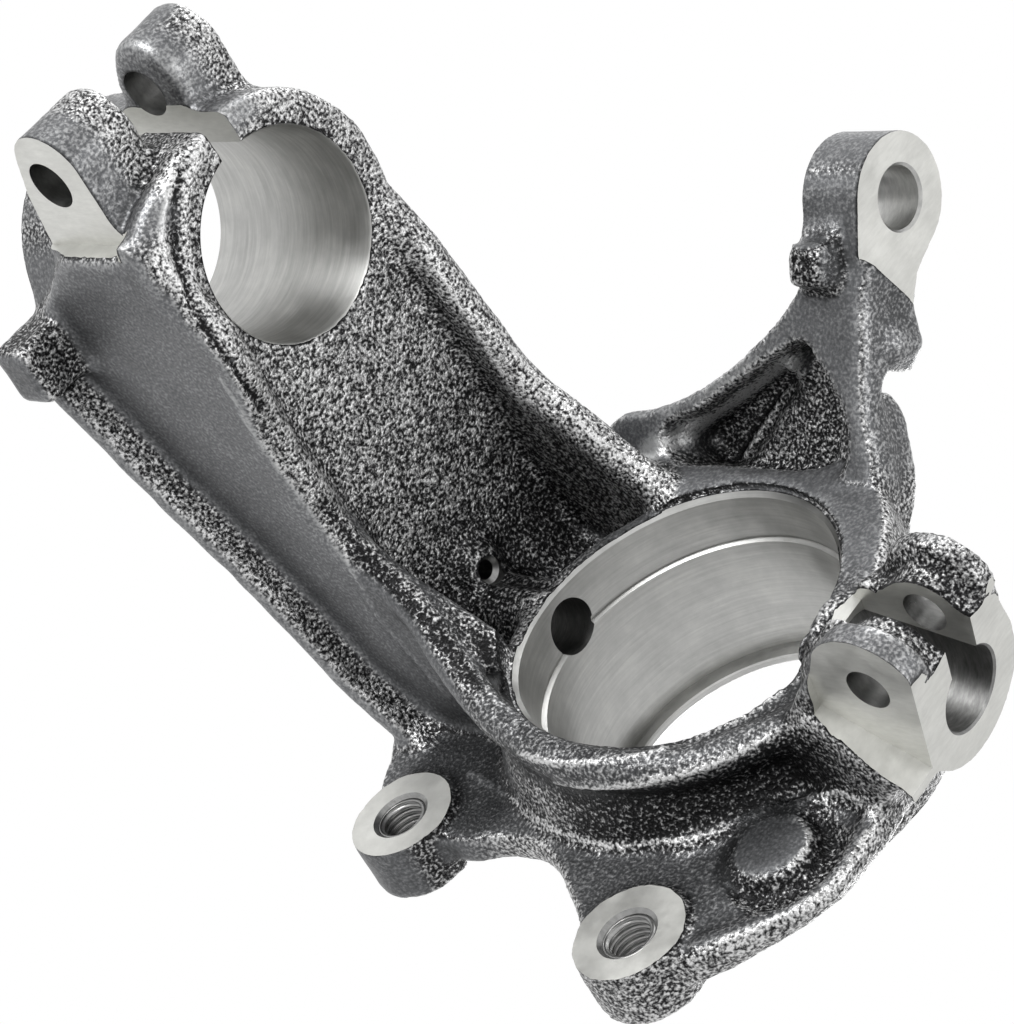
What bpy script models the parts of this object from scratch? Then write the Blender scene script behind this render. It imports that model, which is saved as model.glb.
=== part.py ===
"""Steering knuckle for a strut suspension, one iron casting with machined faces and bores.

Origin at the centre of the wheel bearing bore. +Y is the bearing axis, outboard.
+Z is the strut axis, up. +X points rearward, towards the steering arm's eye.
"""

import math

import bmesh
import bpy
from mathutils import Matrix, Vector

MM = 0.001

# Wheel bearing bore and the hub around it
HUB_BORE_R = 41.0
HUB_MOUTH_R = 42.5
HUB_INBOARD = 23.0
HUB_OUTBOARD = 29.0
HUB_WALL = 8.6
HUB_FLARE = 5.0
HUB_MOUTH_DEPTH = 14.0
HUB_MOUTH_STEP = 0.7
HUB_LIP_R = 36.6
HUB_LIP = 2.6
HUB_RIM_DROP = 6.5
HUB_RIM_WIDTH = 3.6

# Strut clamp, its two ears and its pinch bolt
STRUT_BORE_R = 25.7
STRUT_X = 9.5
STRUT_INBOARD = 129.2
CLAMP_FOOT_Z = 71.0
CLAMP_HEIGHT = 60.0
CLAMP_WALL = 9.2
CLAMP_SLIT = 7.4
CLAMP_SLIT_SHIFT = -0.9
CLAMP_EAR_R = 14.2
CLAMP_TIP_R = 11.2
CLAMP_EAR_REACH = 40.0
CLAMP_EAR_RISE = 25.5
CLAMP_EAR_GAP = 14.4
CLAMP_EAR_THICK = 20.4
CLAMP_EAR_SHIFT = -4.3
CLAMP_BOLT_R = 6.4
CLAMP_FACE_EDGE = 22.4
CLAMP_LUG_REACH = 15.5

# Arm between the strut clamp and the hub
ARM_FRONT_X = -28.5
ARM_REAR_X = 43.5
RAIL_R = 5.0
CREST_FRONT = 3.5
CREST_REAR = 10.0
ARM_BACK_WEB = 13.0
FLANGE_OVERHANG = 8.5
FLANGE_THICK = 6.0

# Caliper plate and its two threaded bosses
PLATE_THICK = 8.5
PLATE_FRONT_Y = -1.6
LOBE_BACK_Y = 12.5
RIM_R = 2.4
BOSS_R = 13.3
BOSS_DRAFT = 0.8
BOSS_FACE_Y = -3.4
BOSS_LENGTH = 16.0
BOSS_BORE_R = 5.6
BOSS_UPPER = (-59.6, 58.9)
BOSS_LOWER = (-76.4, -31.5)
PAD_R = 9.8
PAD_RAISE = 1.8
PAD_CENTRE = (-45.4, -51.4)
PAD_RECESS = 2.8

# Steering arm and its eye
EYE_X = 99.4
EYE_INBOARD = 69.2
EYE_FOOT_Z = -26.4
EYE_HEIGHT = 17.0
EYE_R = 15.7
EYE_BORE_R = 7.7
STEER_ROOT_X = 47.0
STEER_ROOT_Y = -26.0
STEER_THICK = 21.0
STEER_POCKET_DEPTH = 14.0
STEER_LUG = 11.0

# Ball joint clamp below the hub
BALL_X = -1.9
BALL_Y = -14.6
BALL_FOOT_Z = -85.2
BALL_TILT = 14.5
BALL_R = 18.6
BALL_BORE_R = 10.0
BALL_HEIGHT = 30.0
BALL_SLIT = 10.6
BALL_EAR_R = 14.6
BALL_INNER_R = 10.8
BALL_SHOULDER = 8.9
BALL_SHOULDER_SLOPE = (0.1, 0.146)
BALL_BOLT_R = 5.4
BALL_BOLT_REACH = 14.5
BALL_BOLT_RISE = 12.0

# Wheel speed sensor hole and its screw boss
SENSOR_R = 7.2
SENSOR_INBOARD = 12.5
SENSOR_SCREW_R = 3.5
SENSOR_SCREW_X = 4.0
SENSOR_WALL = 4.0
SENSOR_BOSS_R = 6.2
SENSOR_BOSS_RISE = 5.0

# Casting, with the iron that machining takes off its faces
ALLOWANCE = 2.0
CAST_VOXEL = 1.5
CAST_SMOOTH = 7
CAST_TRIANGLES = 8200

HUB_NEAR_Y = -HUB_INBOARD
HUB_FAR_Y = HUB_OUTBOARD
HUB_R = HUB_BORE_R + HUB_WALL
STRUT_Y = -STRUT_INBOARD
CLAMP_R = STRUT_BORE_R + CLAMP_WALL
CLAMP_TOP_Z = CLAMP_FOOT_Z + CLAMP_HEIGHT
CLAMP_BOLT_Y = STRUT_Y - CLAMP_EAR_REACH
CLAMP_BOLT_Z = CLAMP_FOOT_Z + CLAMP_EAR_RISE
CLAMP_EAR_X = STRUT_X + CLAMP_EAR_SHIFT
CLAMP_FACE_X = CLAMP_EAR_X - CLAMP_EAR_GAP / 2 - CLAMP_EAR_THICK
EYE_Y = -EYE_INBOARD
PLATE_BACK_Y = PLATE_FRONT_Y + PLATE_THICK
BALL_UP = Vector((0.0, -math.sin(math.radians(BALL_TILT)), math.cos(math.radians(BALL_TILT))))
BALL_IN = Vector((0.0, -BALL_UP.z, BALL_UP.y))
BALL_FOOT = Vector((BALL_X, BALL_Y, BALL_FOOT_Z))
BALL_BOLT = BALL_FOOT + BALL_IN * BALL_BOLT_REACH + BALL_UP * BALL_BOLT_RISE
BALL_FACE_X = BALL_X - BALL_R

# A frame's columns are where an outline's x and y and its thickness point
ACROSS_X = Matrix(((0, 0, 1), (1, 0, 0), (0, 1, 0)))
ACROSS_Y = Matrix(((1, 0, 0), (0, 0, -1), (0, 1, 0)))
ACROSS_Z = Matrix.Identity(3)


def clear_scene():
    for thing in list(bpy.data.objects):
        bpy.data.objects.remove(thing, do_unlink=True)


def new_collection(name):
    collection = bpy.data.collections.new(name)
    bpy.context.scene.collection.children.link(collection)
    return collection


def evaluated_mesh(thing):
    bpy.context.view_layer.update()
    graph = bpy.context.evaluated_depsgraph_get()
    mesh = bpy.data.meshes.new_from_object(thing.evaluated_get(graph))
    mesh.transform(thing.matrix_world)
    return mesh


def closed_mesh(thing):
    """The thing's evaluated mesh in world space, with its loose caps welded on."""
    mesh = evaluated_mesh(thing)
    shape = bmesh.new()
    shape.from_mesh(mesh)
    bmesh.ops.remove_doubles(shape, verts=shape.verts, dist=0.00001)
    bmesh.ops.recalc_face_normals(shape, faces=shape.faces)
    shape.to_mesh(mesh)
    shape.free()
    return mesh


def as_mesh(thing, collection):
    """Replaces a curve, or a mesh with modifiers, by its closed mesh."""
    name = thing.name
    solid = bpy.data.objects.new(name + "_solid", closed_mesh(thing))
    bpy.data.objects.remove(thing, do_unlink=True)
    solid.name = name
    collection.objects.link(solid)
    return solid


def slab(name, outline, frame, middle, thick, collection, rounded=True):
    """A flat outline in mm, given a thickness about its middle along the frame's third axis."""
    curve = bpy.data.curves.new(name, "CURVE")
    curve.dimensions = "2D"
    curve.fill_mode = "BOTH"
    curve.resolution_u = 6 if rounded else 1
    spline = curve.splines.new("BEZIER")
    spline.bezier_points.add(len(outline) - 1)
    for point, (x, y) in zip(spline.bezier_points, outline):
        point.co = (x * MM, y * MM, 0)
        kind = "AUTO" if rounded else "VECTOR"
        point.handle_left_type = kind
        point.handle_right_type = kind
    spline.use_cyclic_u = True
    curve.extrude = thick * MM / 2
    thing = bpy.data.objects.new(name, curve)
    thing.matrix_world = Matrix.Translation(Vector(middle) * MM) @ frame.to_4x4()
    collection.objects.link(thing)
    return as_mesh(thing, collection)


def round_bar(name, path, radius, collection):
    """A bar of round section along a smooth path, in mm."""
    curve = bpy.data.curves.new(name, "CURVE")
    curve.dimensions = "3D"
    curve.use_fill_caps = True
    curve.bevel_depth = radius * MM
    curve.bevel_resolution = 3
    curve.resolution_u = 6
    spline = curve.splines.new("BEZIER")
    spline.bezier_points.add(len(path) - 1)
    for point, place in zip(spline.bezier_points, path):
        point.co = Vector(place) * MM
        point.handle_left_type = "AUTO"
        point.handle_right_type = "AUTO"
    thing = bpy.data.objects.new(name, curve)
    collection.objects.link(thing)
    return as_mesh(thing, collection)


def cylinder(name, foot, axis, length, radius, collection, end_radius=None, sides=48):
    """A cylinder, or a cone where end_radius is given, from its foot along an axis, in mm."""
    mesh = bpy.data.meshes.new(name)
    shape = bmesh.new()
    bmesh.ops.create_cone(
        shape,
        cap_ends=True,
        segments=sides,
        radius1=radius * MM,
        radius2=(radius if end_radius is None else end_radius) * MM,
        depth=length * MM,
    )
    axis = Vector(axis).normalized()
    middle = Vector(foot) + axis * length / 2
    turn = Vector((0, 0, 1)).rotation_difference(axis).to_matrix().to_4x4()
    bmesh.ops.transform(shape, matrix=Matrix.Translation(middle * MM) @ turn, verts=shape.verts)
    shape.to_mesh(mesh)
    shape.free()
    thing = bpy.data.objects.new(name, mesh)
    collection.objects.link(thing)
    return thing


def box(name, low, high, collection, frame=None, origin=(0, 0, 0)):
    """A box between two corners in mm, in a frame if one is given."""
    mesh = bpy.data.meshes.new(name)
    shape = bmesh.new()
    bmesh.ops.create_cube(shape, size=1.0)
    size = Vector(high) - Vector(low)
    middle = (Vector(high) + Vector(low)) / 2
    place = Matrix.Translation(middle * MM) @ Matrix.Diagonal((*(size * MM), 1))
    if frame is not None:
        place = Matrix.Translation(Vector(origin) * MM) @ frame.to_4x4() @ place
    bmesh.ops.transform(shape, matrix=place, verts=shape.verts)
    shape.to_mesh(mesh)
    shape.free()
    thing = bpy.data.objects.new(name, mesh)
    collection.objects.link(thing)
    return thing


def turned(name, profile, collection, steps=64):
    """A profile of (radius, y) in mm, from its outboard end to its inboard end, turned about Y."""
    mesh = bpy.data.meshes.new(name)
    places = [(radius * MM, 0, y * MM) for radius, y in profile]
    mesh.from_pydata(places, [(i, i + 1) for i in range(len(places) - 1)], [])
    thing = bpy.data.objects.new(name, mesh)
    collection.objects.link(thing)
    screw = thing.modifiers.new("turn", "SCREW")
    screw.steps = steps
    screw.render_steps = steps
    screw.use_merge_vertices = True
    screw.merge_threshold = 0.00001
    thing.rotation_euler = (-math.pi / 2, 0, 0)
    return as_mesh(thing, collection)


def cut(thing, cutters):
    for cutter in cutters:
        modifier = thing.modifiers.new(cutter.name, "BOOLEAN")
        modifier.operation = "DIFFERENCE"
        modifier.solver = "EXACT"
        modifier.object = cutter


def arc(middle, radius, first, last, steps):
    """Points on part of a circle, its angles in degrees."""
    points = []
    for i in range(steps + 1):
        angle = math.radians(first + (last - first) * i / steps)
        points.append((middle[0] + radius * math.cos(angle), middle[1] + radius * math.sin(angle)))
    return points


def inset(line, by):
    """An open outline moved sideways, to the left of its own direction."""
    moved = []
    for i, (x, y) in enumerate(line):
        before = line[max(i - 1, 0)]
        after = line[min(i + 1, len(line) - 1)]
        way = Vector((after[0] - before[0], after[1] - before[1])).normalized()
        moved.append((x - way.y * by, y + way.x * by))
    return moved


def front_crest():
    """The underside of the arm's front wall seen along X, from the clamp to the hub."""
    crest = CLAMP_FOOT_Z - CREST_FRONT
    return [
        (STRUT_Y - CLAMP_R + 14, crest + 3),
        (STRUT_Y - 8, crest),
        (STRUT_Y + CLAMP_R + 12, crest),
        (HUB_NEAR_Y - 40, crest - 1),
        (HUB_NEAR_Y - 31, crest - 6),
        (HUB_NEAR_Y - 22, crest - 18),
        (HUB_NEAR_Y - 11, crest - 32),
        (HUB_NEAR_Y - 3, crest - 46),
    ]


def rear_crest():
    """The underside of the arm's rear wall, which stands lower than the front one."""
    crest = CLAMP_FOOT_Z - CREST_REAR
    return [
        (STRUT_Y - 8, crest + 11),
        (STRUT_Y + 13, crest + 9),
        (STRUT_Y + 29, crest + 3),
        (STRUT_Y + 51, crest - 1),
        (HUB_NEAR_Y - 35, crest - 6),
        (HUB_NEAR_Y - 25, crest - 15),
        (HUB_NEAR_Y - 12, crest - 24),
        (HUB_NEAR_Y - 3, crest - 35),
    ]


def back_of_arm():
    """The side of the arm away from the wheel's axle, from the plate to the clamp's top."""
    return [
        (PLATE_BACK_Y, 45),
        (PLATE_BACK_Y - 2, 66),
        (PLATE_BACK_Y - 9, 80),
        (HUB_NEAR_Y + 6, 90),
        (HUB_NEAR_Y - 15, CLAMP_TOP_Z - 34),
        (HUB_NEAR_Y - 35, CLAMP_TOP_Z - 26),
        (STRUT_Y + CLAMP_R + 12, CLAMP_TOP_Z - 14),
        (STRUT_Y + 16, CLAMP_TOP_Z - 1.5),
        (STRUT_Y + 2, CLAMP_TOP_Z),
    ]


def arm(stock, guides):
    middle = (ARM_FRONT_X + ARM_REAR_X) / 2
    width = ARM_REAR_X - ARM_FRONT_X
    wall = 2 * RAIL_R
    foot = [(HUB_NEAR_Y, 0), (PLATE_BACK_Y, 0)]
    front = inset(front_crest()[1:], RAIL_R * 0.6) + foot + back_of_arm()
    rear = inset(rear_crest()[1:], RAIL_R * 0.6) + foot + back_of_arm()
    half = width / 2 + 1
    body = [
        slab("arm_front", front, ACROSS_X, (middle - width / 4, 0, 0), half, stock),
        slab("arm_rear", rear, ACROSS_X, (middle + width / 4, 0, 0), half, stock),
    ]
    side = [
        (STRUT_Y - CLAMP_R + 9, CLAMP_FOOT_Z + 5),
        (STRUT_Y + 8, CLAMP_FOOT_Z),
        (STRUT_Y + 8, CLAMP_TOP_Z - 1),
        (STRUT_Y - 4, CLAMP_TOP_Z - 3),
        (STRUT_Y - CLAMP_R + 16, CLAMP_BOLT_Z + CLAMP_EAR_R - 2),
        (STRUT_Y - CLAMP_R + 9, CLAMP_BOLT_Z),
    ]
    x = ARM_FRONT_X + wall / 2
    body.append(slab("clamp_side", side, ACROSS_X, (x, 0, 0), wall, stock, rounded=False))
    floor = CLAMP_FOOT_Z
    channel = [
        (STRUT_Y - 60, floor - 60),
        (STRUT_Y - 60, floor),
        (HUB_NEAR_Y - 17, floor),
        (HUB_NEAR_Y + 1, floor - 2),
        (HUB_NEAR_Y + 11, floor - 6),
        (HUB_NEAR_Y + 15, floor - 14),
        (HUB_NEAR_Y + 15, 20),
        (HUB_NEAR_Y + 3, -20),
        (HUB_NEAR_Y - 37, -40),
    ]
    inner = width - 2 * wall + 2
    hollow = slab("channel", channel, ACROSS_X, (middle, 0, 0), inner, guides, rounded=False)
    back = back_of_arm()[2:6]
    recess = [(y - 5, z - ARM_BACK_WEB) for y, z in back]
    recess += [(y + 20, z + 30) for y, z in reversed(back)]
    inner = width - 2.2 * wall
    pocket = slab("back_recess", recess, ACROSS_X, (middle, 0, 0), inner, guides, rounded=False)
    pieces = []
    for part in body:
        cut(part, [hollow, pocket])
        pieces.append(as_mesh(part, stock))
    x = ARM_FRONT_X + RAIL_R
    front_rail = [(x, y, z) for y, z in inset(front_crest()[:5], RAIL_R)]
    low = front_crest()
    front_rail += [
        (x - 3, low[5][0] + 2, low[5][1] + RAIL_R),
        (x - 11, low[6][0] + 2, low[6][1] + RAIL_R),
        (5 - HUB_R, HUB_NEAR_Y - 1, 16),
        (2 - HUB_R, HUB_NEAR_Y + 1, -8),
        (9 - HUB_R, HUB_NEAR_Y + 4, -30),
        (24 - HUB_R, HUB_NEAR_Y + 7, -44),
        (38 - HUB_R, HUB_NEAR_Y + 9, -54),
        (48 - HUB_R, HUB_NEAR_Y + 9, -64),
    ]
    front_rail.insert(0, (STRUT_X - 8, STRUT_Y - CLAMP_R + RAIL_R - 1, CLAMP_FOOT_Z + 4))
    turn = CLAMP_R - RAIL_R
    x = ARM_REAR_X - RAIL_R
    rear_rail = [(x, y, z) for y, z in inset(rear_crest()[1:], RAIL_R)]
    rear_rail.insert(0, (STRUT_X + turn * 0.95, STRUT_Y - turn * 0.2, CLAMP_FOOT_Z + 5))
    rear_rail.insert(0, (STRUT_X + turn * 0.6, STRUT_Y - turn * 0.8, CLAMP_FOOT_Z + 5))
    pieces.append(round_bar("front_rail", front_rail, RAIL_R, stock))
    pieces.append(round_bar("rear_rail", rear_rail, RAIL_R, stock))
    skin = back_of_arm()
    under = [(y - FLANGE_THICK * 0.55, z - FLANGE_THICK * 0.85) for y, z in reversed(skin)]
    x = middle + 1 - FLANGE_OVERHANG / 2
    wide = width + FLANGE_OVERHANG + 4
    pieces.append(slab("flange", skin + under, ACROSS_X, (x, 0, 0), wide, stock, rounded=False))
    return pieces


def strut_clamp(stock):
    foot = (STRUT_X, STRUT_Y, CLAMP_FOOT_Z)
    tall = CLAMP_HEIGHT + ALLOWANCE
    pieces = [cylinder("clamp_tube", foot, (0, 0, 1), tall, CLAMP_R, stock)]
    root = STRUT_Y - STRUT_BORE_R + 12
    lean = CLAMP_EAR_R - CLAMP_TIP_R
    middle = (CLAMP_BOLT_Y - lean, CLAMP_BOLT_Z - lean)
    tip = arc(middle, CLAMP_TIP_R, 110, 262, 8)
    profile = [
        (root, CLAMP_BOLT_Z - CLAMP_EAR_R + 1),
        (root, CLAMP_BOLT_Z + CLAMP_EAR_R + 3.5),
        (CLAMP_BOLT_Y + 18, CLAMP_BOLT_Z + CLAMP_EAR_R + 1.5),
        (CLAMP_BOLT_Y + 4, CLAMP_BOLT_Z + CLAMP_EAR_R - 1.8),
    ] + tip
    front = CLAMP_EAR_THICK + ALLOWANCE
    x = CLAMP_EAR_X - (CLAMP_EAR_GAP + front) / 2
    pieces.append(slab("front_ear", profile, ACROSS_X, (x, 0, 0), front, stock, rounded=False))
    rear = CLAMP_EAR_THICK - 2
    x = CLAMP_EAR_X + (CLAMP_EAR_GAP + rear) / 2
    pieces.append(slab("rear_ear", profile, ACROSS_X, (x, 0, 0), rear, stock, rounded=False))
    x = CLAMP_EAR_X
    wide = CLAMP_EAR_GAP + 2
    stub = profile[:3] + [(STRUT_Y - CLAMP_R + 3, CLAMP_BOLT_Z + CLAMP_EAR_R)]
    stub += [(STRUT_Y - CLAMP_R + 3, CLAMP_BOLT_Z - CLAMP_EAR_R)]
    pieces.append(slab("ear_root", stub, ACROSS_X, (x, 0, 0), wide, stock, rounded=False))
    low = (ARM_FRONT_X - CLAMP_LUG_REACH, STRUT_Y - 5, CLAMP_TOP_Z - 13)
    high = (ARM_FRONT_X + 8, STRUT_Y + 11, CLAMP_TOP_Z)
    pieces.append(box("clamp_lug", low, high, stock))
    return pieces


def hub(stock, guides):
    profile = [
        (0, HUB_FAR_Y + ALLOWANCE),
        (HUB_R + 1.5, HUB_FAR_Y + ALLOWANCE),
        (HUB_R + HUB_FLARE, HUB_FAR_Y - 8),
        (HUB_R + HUB_FLARE, PLATE_FRONT_Y - 3),
        (HUB_R + 1, HUB_NEAR_Y + 6),
        (HUB_BORE_R + HUB_RIM_WIDTH + 2, HUB_NEAR_Y),
        (0, HUB_NEAR_Y),
    ]
    body = turned("hub", profile, stock)
    drop = math.atan2(HUB_RIM_DROP, HUB_R)
    tilt = Matrix.Rotation(drop, 3, "X")
    low = (-80, -60, -110)
    origin = (0, HUB_NEAR_Y, 4)
    cut(body, [box("rim_drop", low, (30, 0, 0), guides, tilt, origin)])
    pieces = [as_mesh(body, stock)]
    side = [
        (40, 40),
        (48, 30),
        (50, 10),
        (51, -6),
        (54, -18),
        (51, -27),
        (45, -35),
        (35, -43),
        (20, -50),
        (4, -55),
        (-8, -50),
        (0, -36),
        (30, -20),
        (36, 10),
    ]
    face = HUB_NEAR_Y - 2.2
    depth = 22
    pieces.append(slab("hub_side", side, ACROSS_Y, (0, face + depth / 2, 0), depth, stock))
    return pieces


def caliper_plate(stock, guides):
    ux, uz = BOSS_UPPER
    lx, lz = BOSS_LOWER
    outline = [
        (-20, 92),
        (-36, 84),
        (ux + 2, uz + BOSS_R),
        (ux - 8, uz + 6),
        (ux - 3, uz - 12),
        (-62.5, 37),
        (-59, 28),
        (-57.5, 18),
        (-60, 8),
        (-67, -3),
        (lx + 3, lz + 20),
        (lx - 6, lz + 8),
        (lx - 6, lz - 8),
        (-79, -49),
        (-67, -60),
        (-53, -68.5),
        (-42, -71.5),
        (-20, -71),
        (0, -67),
        (10, -40),
        (0, 40),
    ]
    px, pz = PAD_CENTRE
    moat = [
        (px + 13, pz + 5),
        (px + 12, pz - 7),
        (px + 7, pz - 16),
        (px + 1, pz - 19),
        (px - 8, pz - 18.5),
        (px - 14, pz - 12.5),
        (px - 16.5, pz - 4),
        (px - 11, pz + 5),
    ]
    middle = PLATE_FRONT_Y + PLATE_THICK / 2
    plate = slab("caliper_plate", outline, ACROSS_Y, (0, middle, 0), PLATE_THICK, stock)
    edge = [(-78, -50), (-64, -67), (-53, -73.5), (-44, -74.5), (-34, -73.5), (-20, -70)]
    outline = edge + [(-20, -50), (-60, -30), (lx - 2, lz)]
    thick = PLATE_THICK / 2
    middle = PLATE_FRONT_Y + thick / 2
    lip = slab("plate_lip", outline, ACROSS_Y, (0, middle, 0), thick, stock)
    recess = slab("pad_moat", moat, ACROSS_Y, (0, PLATE_FRONT_Y, 0), 2 * PAD_RECESS, guides)
    pieces = []
    for part in (plate, lip):
        cut(part, [recess])
        pieces.append(as_mesh(part, stock))
    rim = [(-51, -25), (-41, -40), (-33, -51), (-28, -59), (-27, -67)]
    rim += [(x * 0.97, z * 0.97) for x, z in reversed(edge[:4])]
    bead = [(x, PLATE_FRONT_Y + 0.4, z) for x, z in rim]
    pieces.append(round_bar("plate_rim", bead, RIM_R, stock))
    for name, x, z, radius in (("lobe_low", -52, -49.5, 8), ("lobe_side", -37.5, -59.5, 5)):
        foot = (x, PLATE_FRONT_Y + 3, z)
        pieces.append(cylinder(name, foot, (0, 1, 0), LOBE_BACK_Y - foot[1], radius, stock))
    for name, (x, z) in (("boss_upper", BOSS_UPPER), ("boss_lower", BOSS_LOWER)):
        foot = (x, BOSS_FACE_Y - ALLOWANCE, z)
        deep = BOSS_LENGTH + ALLOWANCE
        wide = BOSS_R + BOSS_DRAFT
        pieces.append(cylinder(name, foot, (0, 1, 0), deep, BOSS_R + 0.4, stock, wide))
    foot = (px, PLATE_FRONT_Y - PAD_RAISE, pz)
    pieces.append(cylinder("pad", foot, (0, 1, 0), PAD_RAISE + 6, PAD_R, stock, PAD_R + 1.5))
    return pieces


def steering_arm(stock, guides):
    along = Vector((EYE_X - STEER_ROOT_X, EYE_Y - STEER_ROOT_Y, 0))
    reach = math.sqrt(along.length_squared - (EYE_R - 1.5) ** 2)
    turn = math.atan2(along.y, along.x) - math.atan2(EYE_R - 1.5, reach)
    run = Vector((math.cos(turn), math.sin(turn), 0))
    out = Vector((run.y, -run.x, 0))
    frame = Matrix((run, Vector((0, 0, 1)), out)).transposed()
    root = Vector((STEER_ROOT_X, STEER_ROOT_Y, 0))
    top = EYE_FOOT_Z + EYE_HEIGHT
    upper = [
        (-16, 58),
        (2, 61),
        (10, 55),
        (13, 42),
        (19.5, 25),
        (33, 5),
        (46, top + 3),
        (reach, top),
    ]
    front_lower = [
        (reach, EYE_FOOT_Z - 0.8),
        (40, EYE_FOOT_Z - 0.8),
        (26, EYE_FOOT_Z - 1.5),
        (16, EYE_FOOT_Z - 1.5),
        (8, EYE_FOOT_Z - 4),
        (-4, EYE_FOOT_Z - 6),
        (-16, EYE_FOOT_Z - 4),
    ]
    rear_lower = [
        (reach, EYE_FOOT_Z - 0.8),
        (43, EYE_FOOT_Z - 0.8),
        (35, EYE_FOOT_Z + 3),
        (25, EYE_FOOT_Z + 8),
        (18, EYE_FOOT_Z + 12),
        (12, EYE_FOOT_Z + 11),
        (7, EYE_FOOT_Z + 5),
        (-2, EYE_FOOT_Z + 3),
        (-16, EYE_FOOT_Z + 6),
    ]
    flange = STEER_THICK * 0.4
    middle = root - out * flange / 2
    body = [slab("steering_flange", upper + front_lower, frame, middle, flange, stock)]
    middle = root - out * (STEER_THICK + flange - 1) / 2
    deep = STEER_THICK - flange + 1
    body.append(slab("steering_web", upper + rear_lower, frame, middle, deep, stock))
    mouth = [
        (6, 38),
        (-1, 30),
        (-1, 5),
        (-1, -19),
        (11, -21.5),
        (19, -18.5),
        (27, -12.5),
        (32, -7.5),
        (30, -3),
        (23, 10),
        (14, 25),
    ]
    floor = [(x, y - 5 - (x + 1) * 0.1) if y > 4 else (x, y) for x, y in mouth]
    shallow = slab("steer_mouth", mouth, frame, root, STEER_POCKET_DEPTH, guides)
    hollow = slab("steer_pocket", floor, frame, root, 2 * STEER_POCKET_DEPTH, guides)
    valley = [(24, 3), (29, -3), (26, 5), (18, 18), (10, 31), (5, 36), (-1, 31), (-1, 23), (8, 14)]
    deep = STEER_POCKET_DEPTH + 3.5
    deeper = slab("steer_valley", valley, frame, root, 2 * deep, guides, rounded=False)
    pieces = []
    for part in body:
        cut(part, [shallow, hollow, deeper])
        pieces.append(as_mesh(part, stock))
    foot = (EYE_X, EYE_Y, EYE_FOOT_Z - ALLOWANCE)
    tall = EYE_HEIGHT + 2 * ALLOWANCE
    pieces.append(cylinder("eye", foot, (0, 0, 1), tall, EYE_R, stock))
    low = (reach - 10.5 - STEER_LUG, top - STEER_LUG, -6)
    high = (reach - 10.5, top + 0.5, 7)
    pieces.append(box("eye_lug_upper", low, high, stock, frame, root))
    high = (reach - 6, top + 0.5, 2)
    pieces.append(box("eye_lug_foot", low, high, stock, frame, root))
    lower_lug = [
        (reach - 24, EYE_FOOT_Z + 6),
        (reach - 26, EYE_FOOT_Z - 0.5),
        (reach - 35.5, EYE_FOOT_Z - 3.8),
        (reach - 43, EYE_FOOT_Z + 1),
    ]
    middle = root - out * (STEER_THICK - STEER_LUG / 2)
    pieces.append(slab("eye_lug_lower", lower_lug, frame, middle, STEER_LUG, stock, rounded=False))
    swell = [
        (20, EYE_FOOT_Z + 6),
        (17, EYE_FOOT_Z + 1),
        (10, EYE_FOOT_Z - 2),
        (2, EYE_FOOT_Z - 4),
        (-8, EYE_FOOT_Z - 4),
        (-16, EYE_FOOT_Z),
    ]
    middle = root - out * STEER_THICK * 0.55
    pieces.append(slab("steering_swell", swell, frame, middle, STEER_THICK * 0.6, stock))
    return pieces


def ball_clamp(stock):
    foot = BALL_FOOT - BALL_UP * ALLOWANCE
    tall = BALL_HEIGHT + ALLOWANCE
    pieces = [cylinder("ball_boss", foot, BALL_UP, tall, BALL_R, stock)]
    frame = Matrix((BALL_IN, BALL_UP, BALL_IN.cross(BALL_UP))).transposed()
    reach = BALL_BOLT_REACH
    rise = BALL_BOLT_RISE
    neck = [(-4, rise + BALL_EAR_R + 10), (-16, rise + BALL_EAR_R + 12), (-16, 6)]
    outer = [(0, -ALLOWANCE)] + arc((reach, rise), BALL_EAR_R, -56, 84, 7) + neck
    inner = [(0, -ALLOWANCE), (12, -ALLOWANCE)] + arc((reach - 1.6, rise), BALL_INNER_R, -50, 75, 6)
    inner += [(11, rise + BALL_EAR_R - 3), (5, rise + BALL_EAR_R + 6)] + neck
    slope = (BALL_R - BALL_SLIT / 2) * 0.45
    front = -BALL_R - ALLOWANCE
    rear = BALL_R - 1.5
    slices = (
        ("ball_ear_front", outer, front, -BALL_SLIT / 2 - slope),
        ("ball_ear_rear", outer, BALL_SLIT / 2 + slope, rear),
        ("ball_ears_inner", inner, front + 2, rear - 2),
    )
    for name, outline, low, high in slices:
        middle = BALL_FOOT + Vector(((low + high) / 2, 0, 0))
        pieces.append(slab(name, outline, frame, middle, high - low, stock, rounded=False))
    shoulder = [
        (-3, 0.5),
        (-16, 8),
        (-24, 12),
        (-24, 44),
        (-12, 44),
        (-1, 30),
        (3.5, 23),
        (1, 12),
    ]
    across = BALL_IN + Vector((BALL_SHOULDER_SLOPE[0], 0, 0))
    along = BALL_UP + Vector((BALL_SHOULDER_SLOPE[1], 0, 0))
    front = across.cross(along).normalized()
    frame = Matrix((across.normalized(), front.cross(across).normalized(), front)).transposed()
    thick = BALL_SHOULDER - 1
    middle = BALL_FOOT - Vector((BALL_R, 0, 0)) + front * (BALL_SHOULDER - thick / 2)
    pieces.append(slab("ball_shoulder", shoulder, frame, middle, thick, stock, rounded=False))
    return pieces


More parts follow.
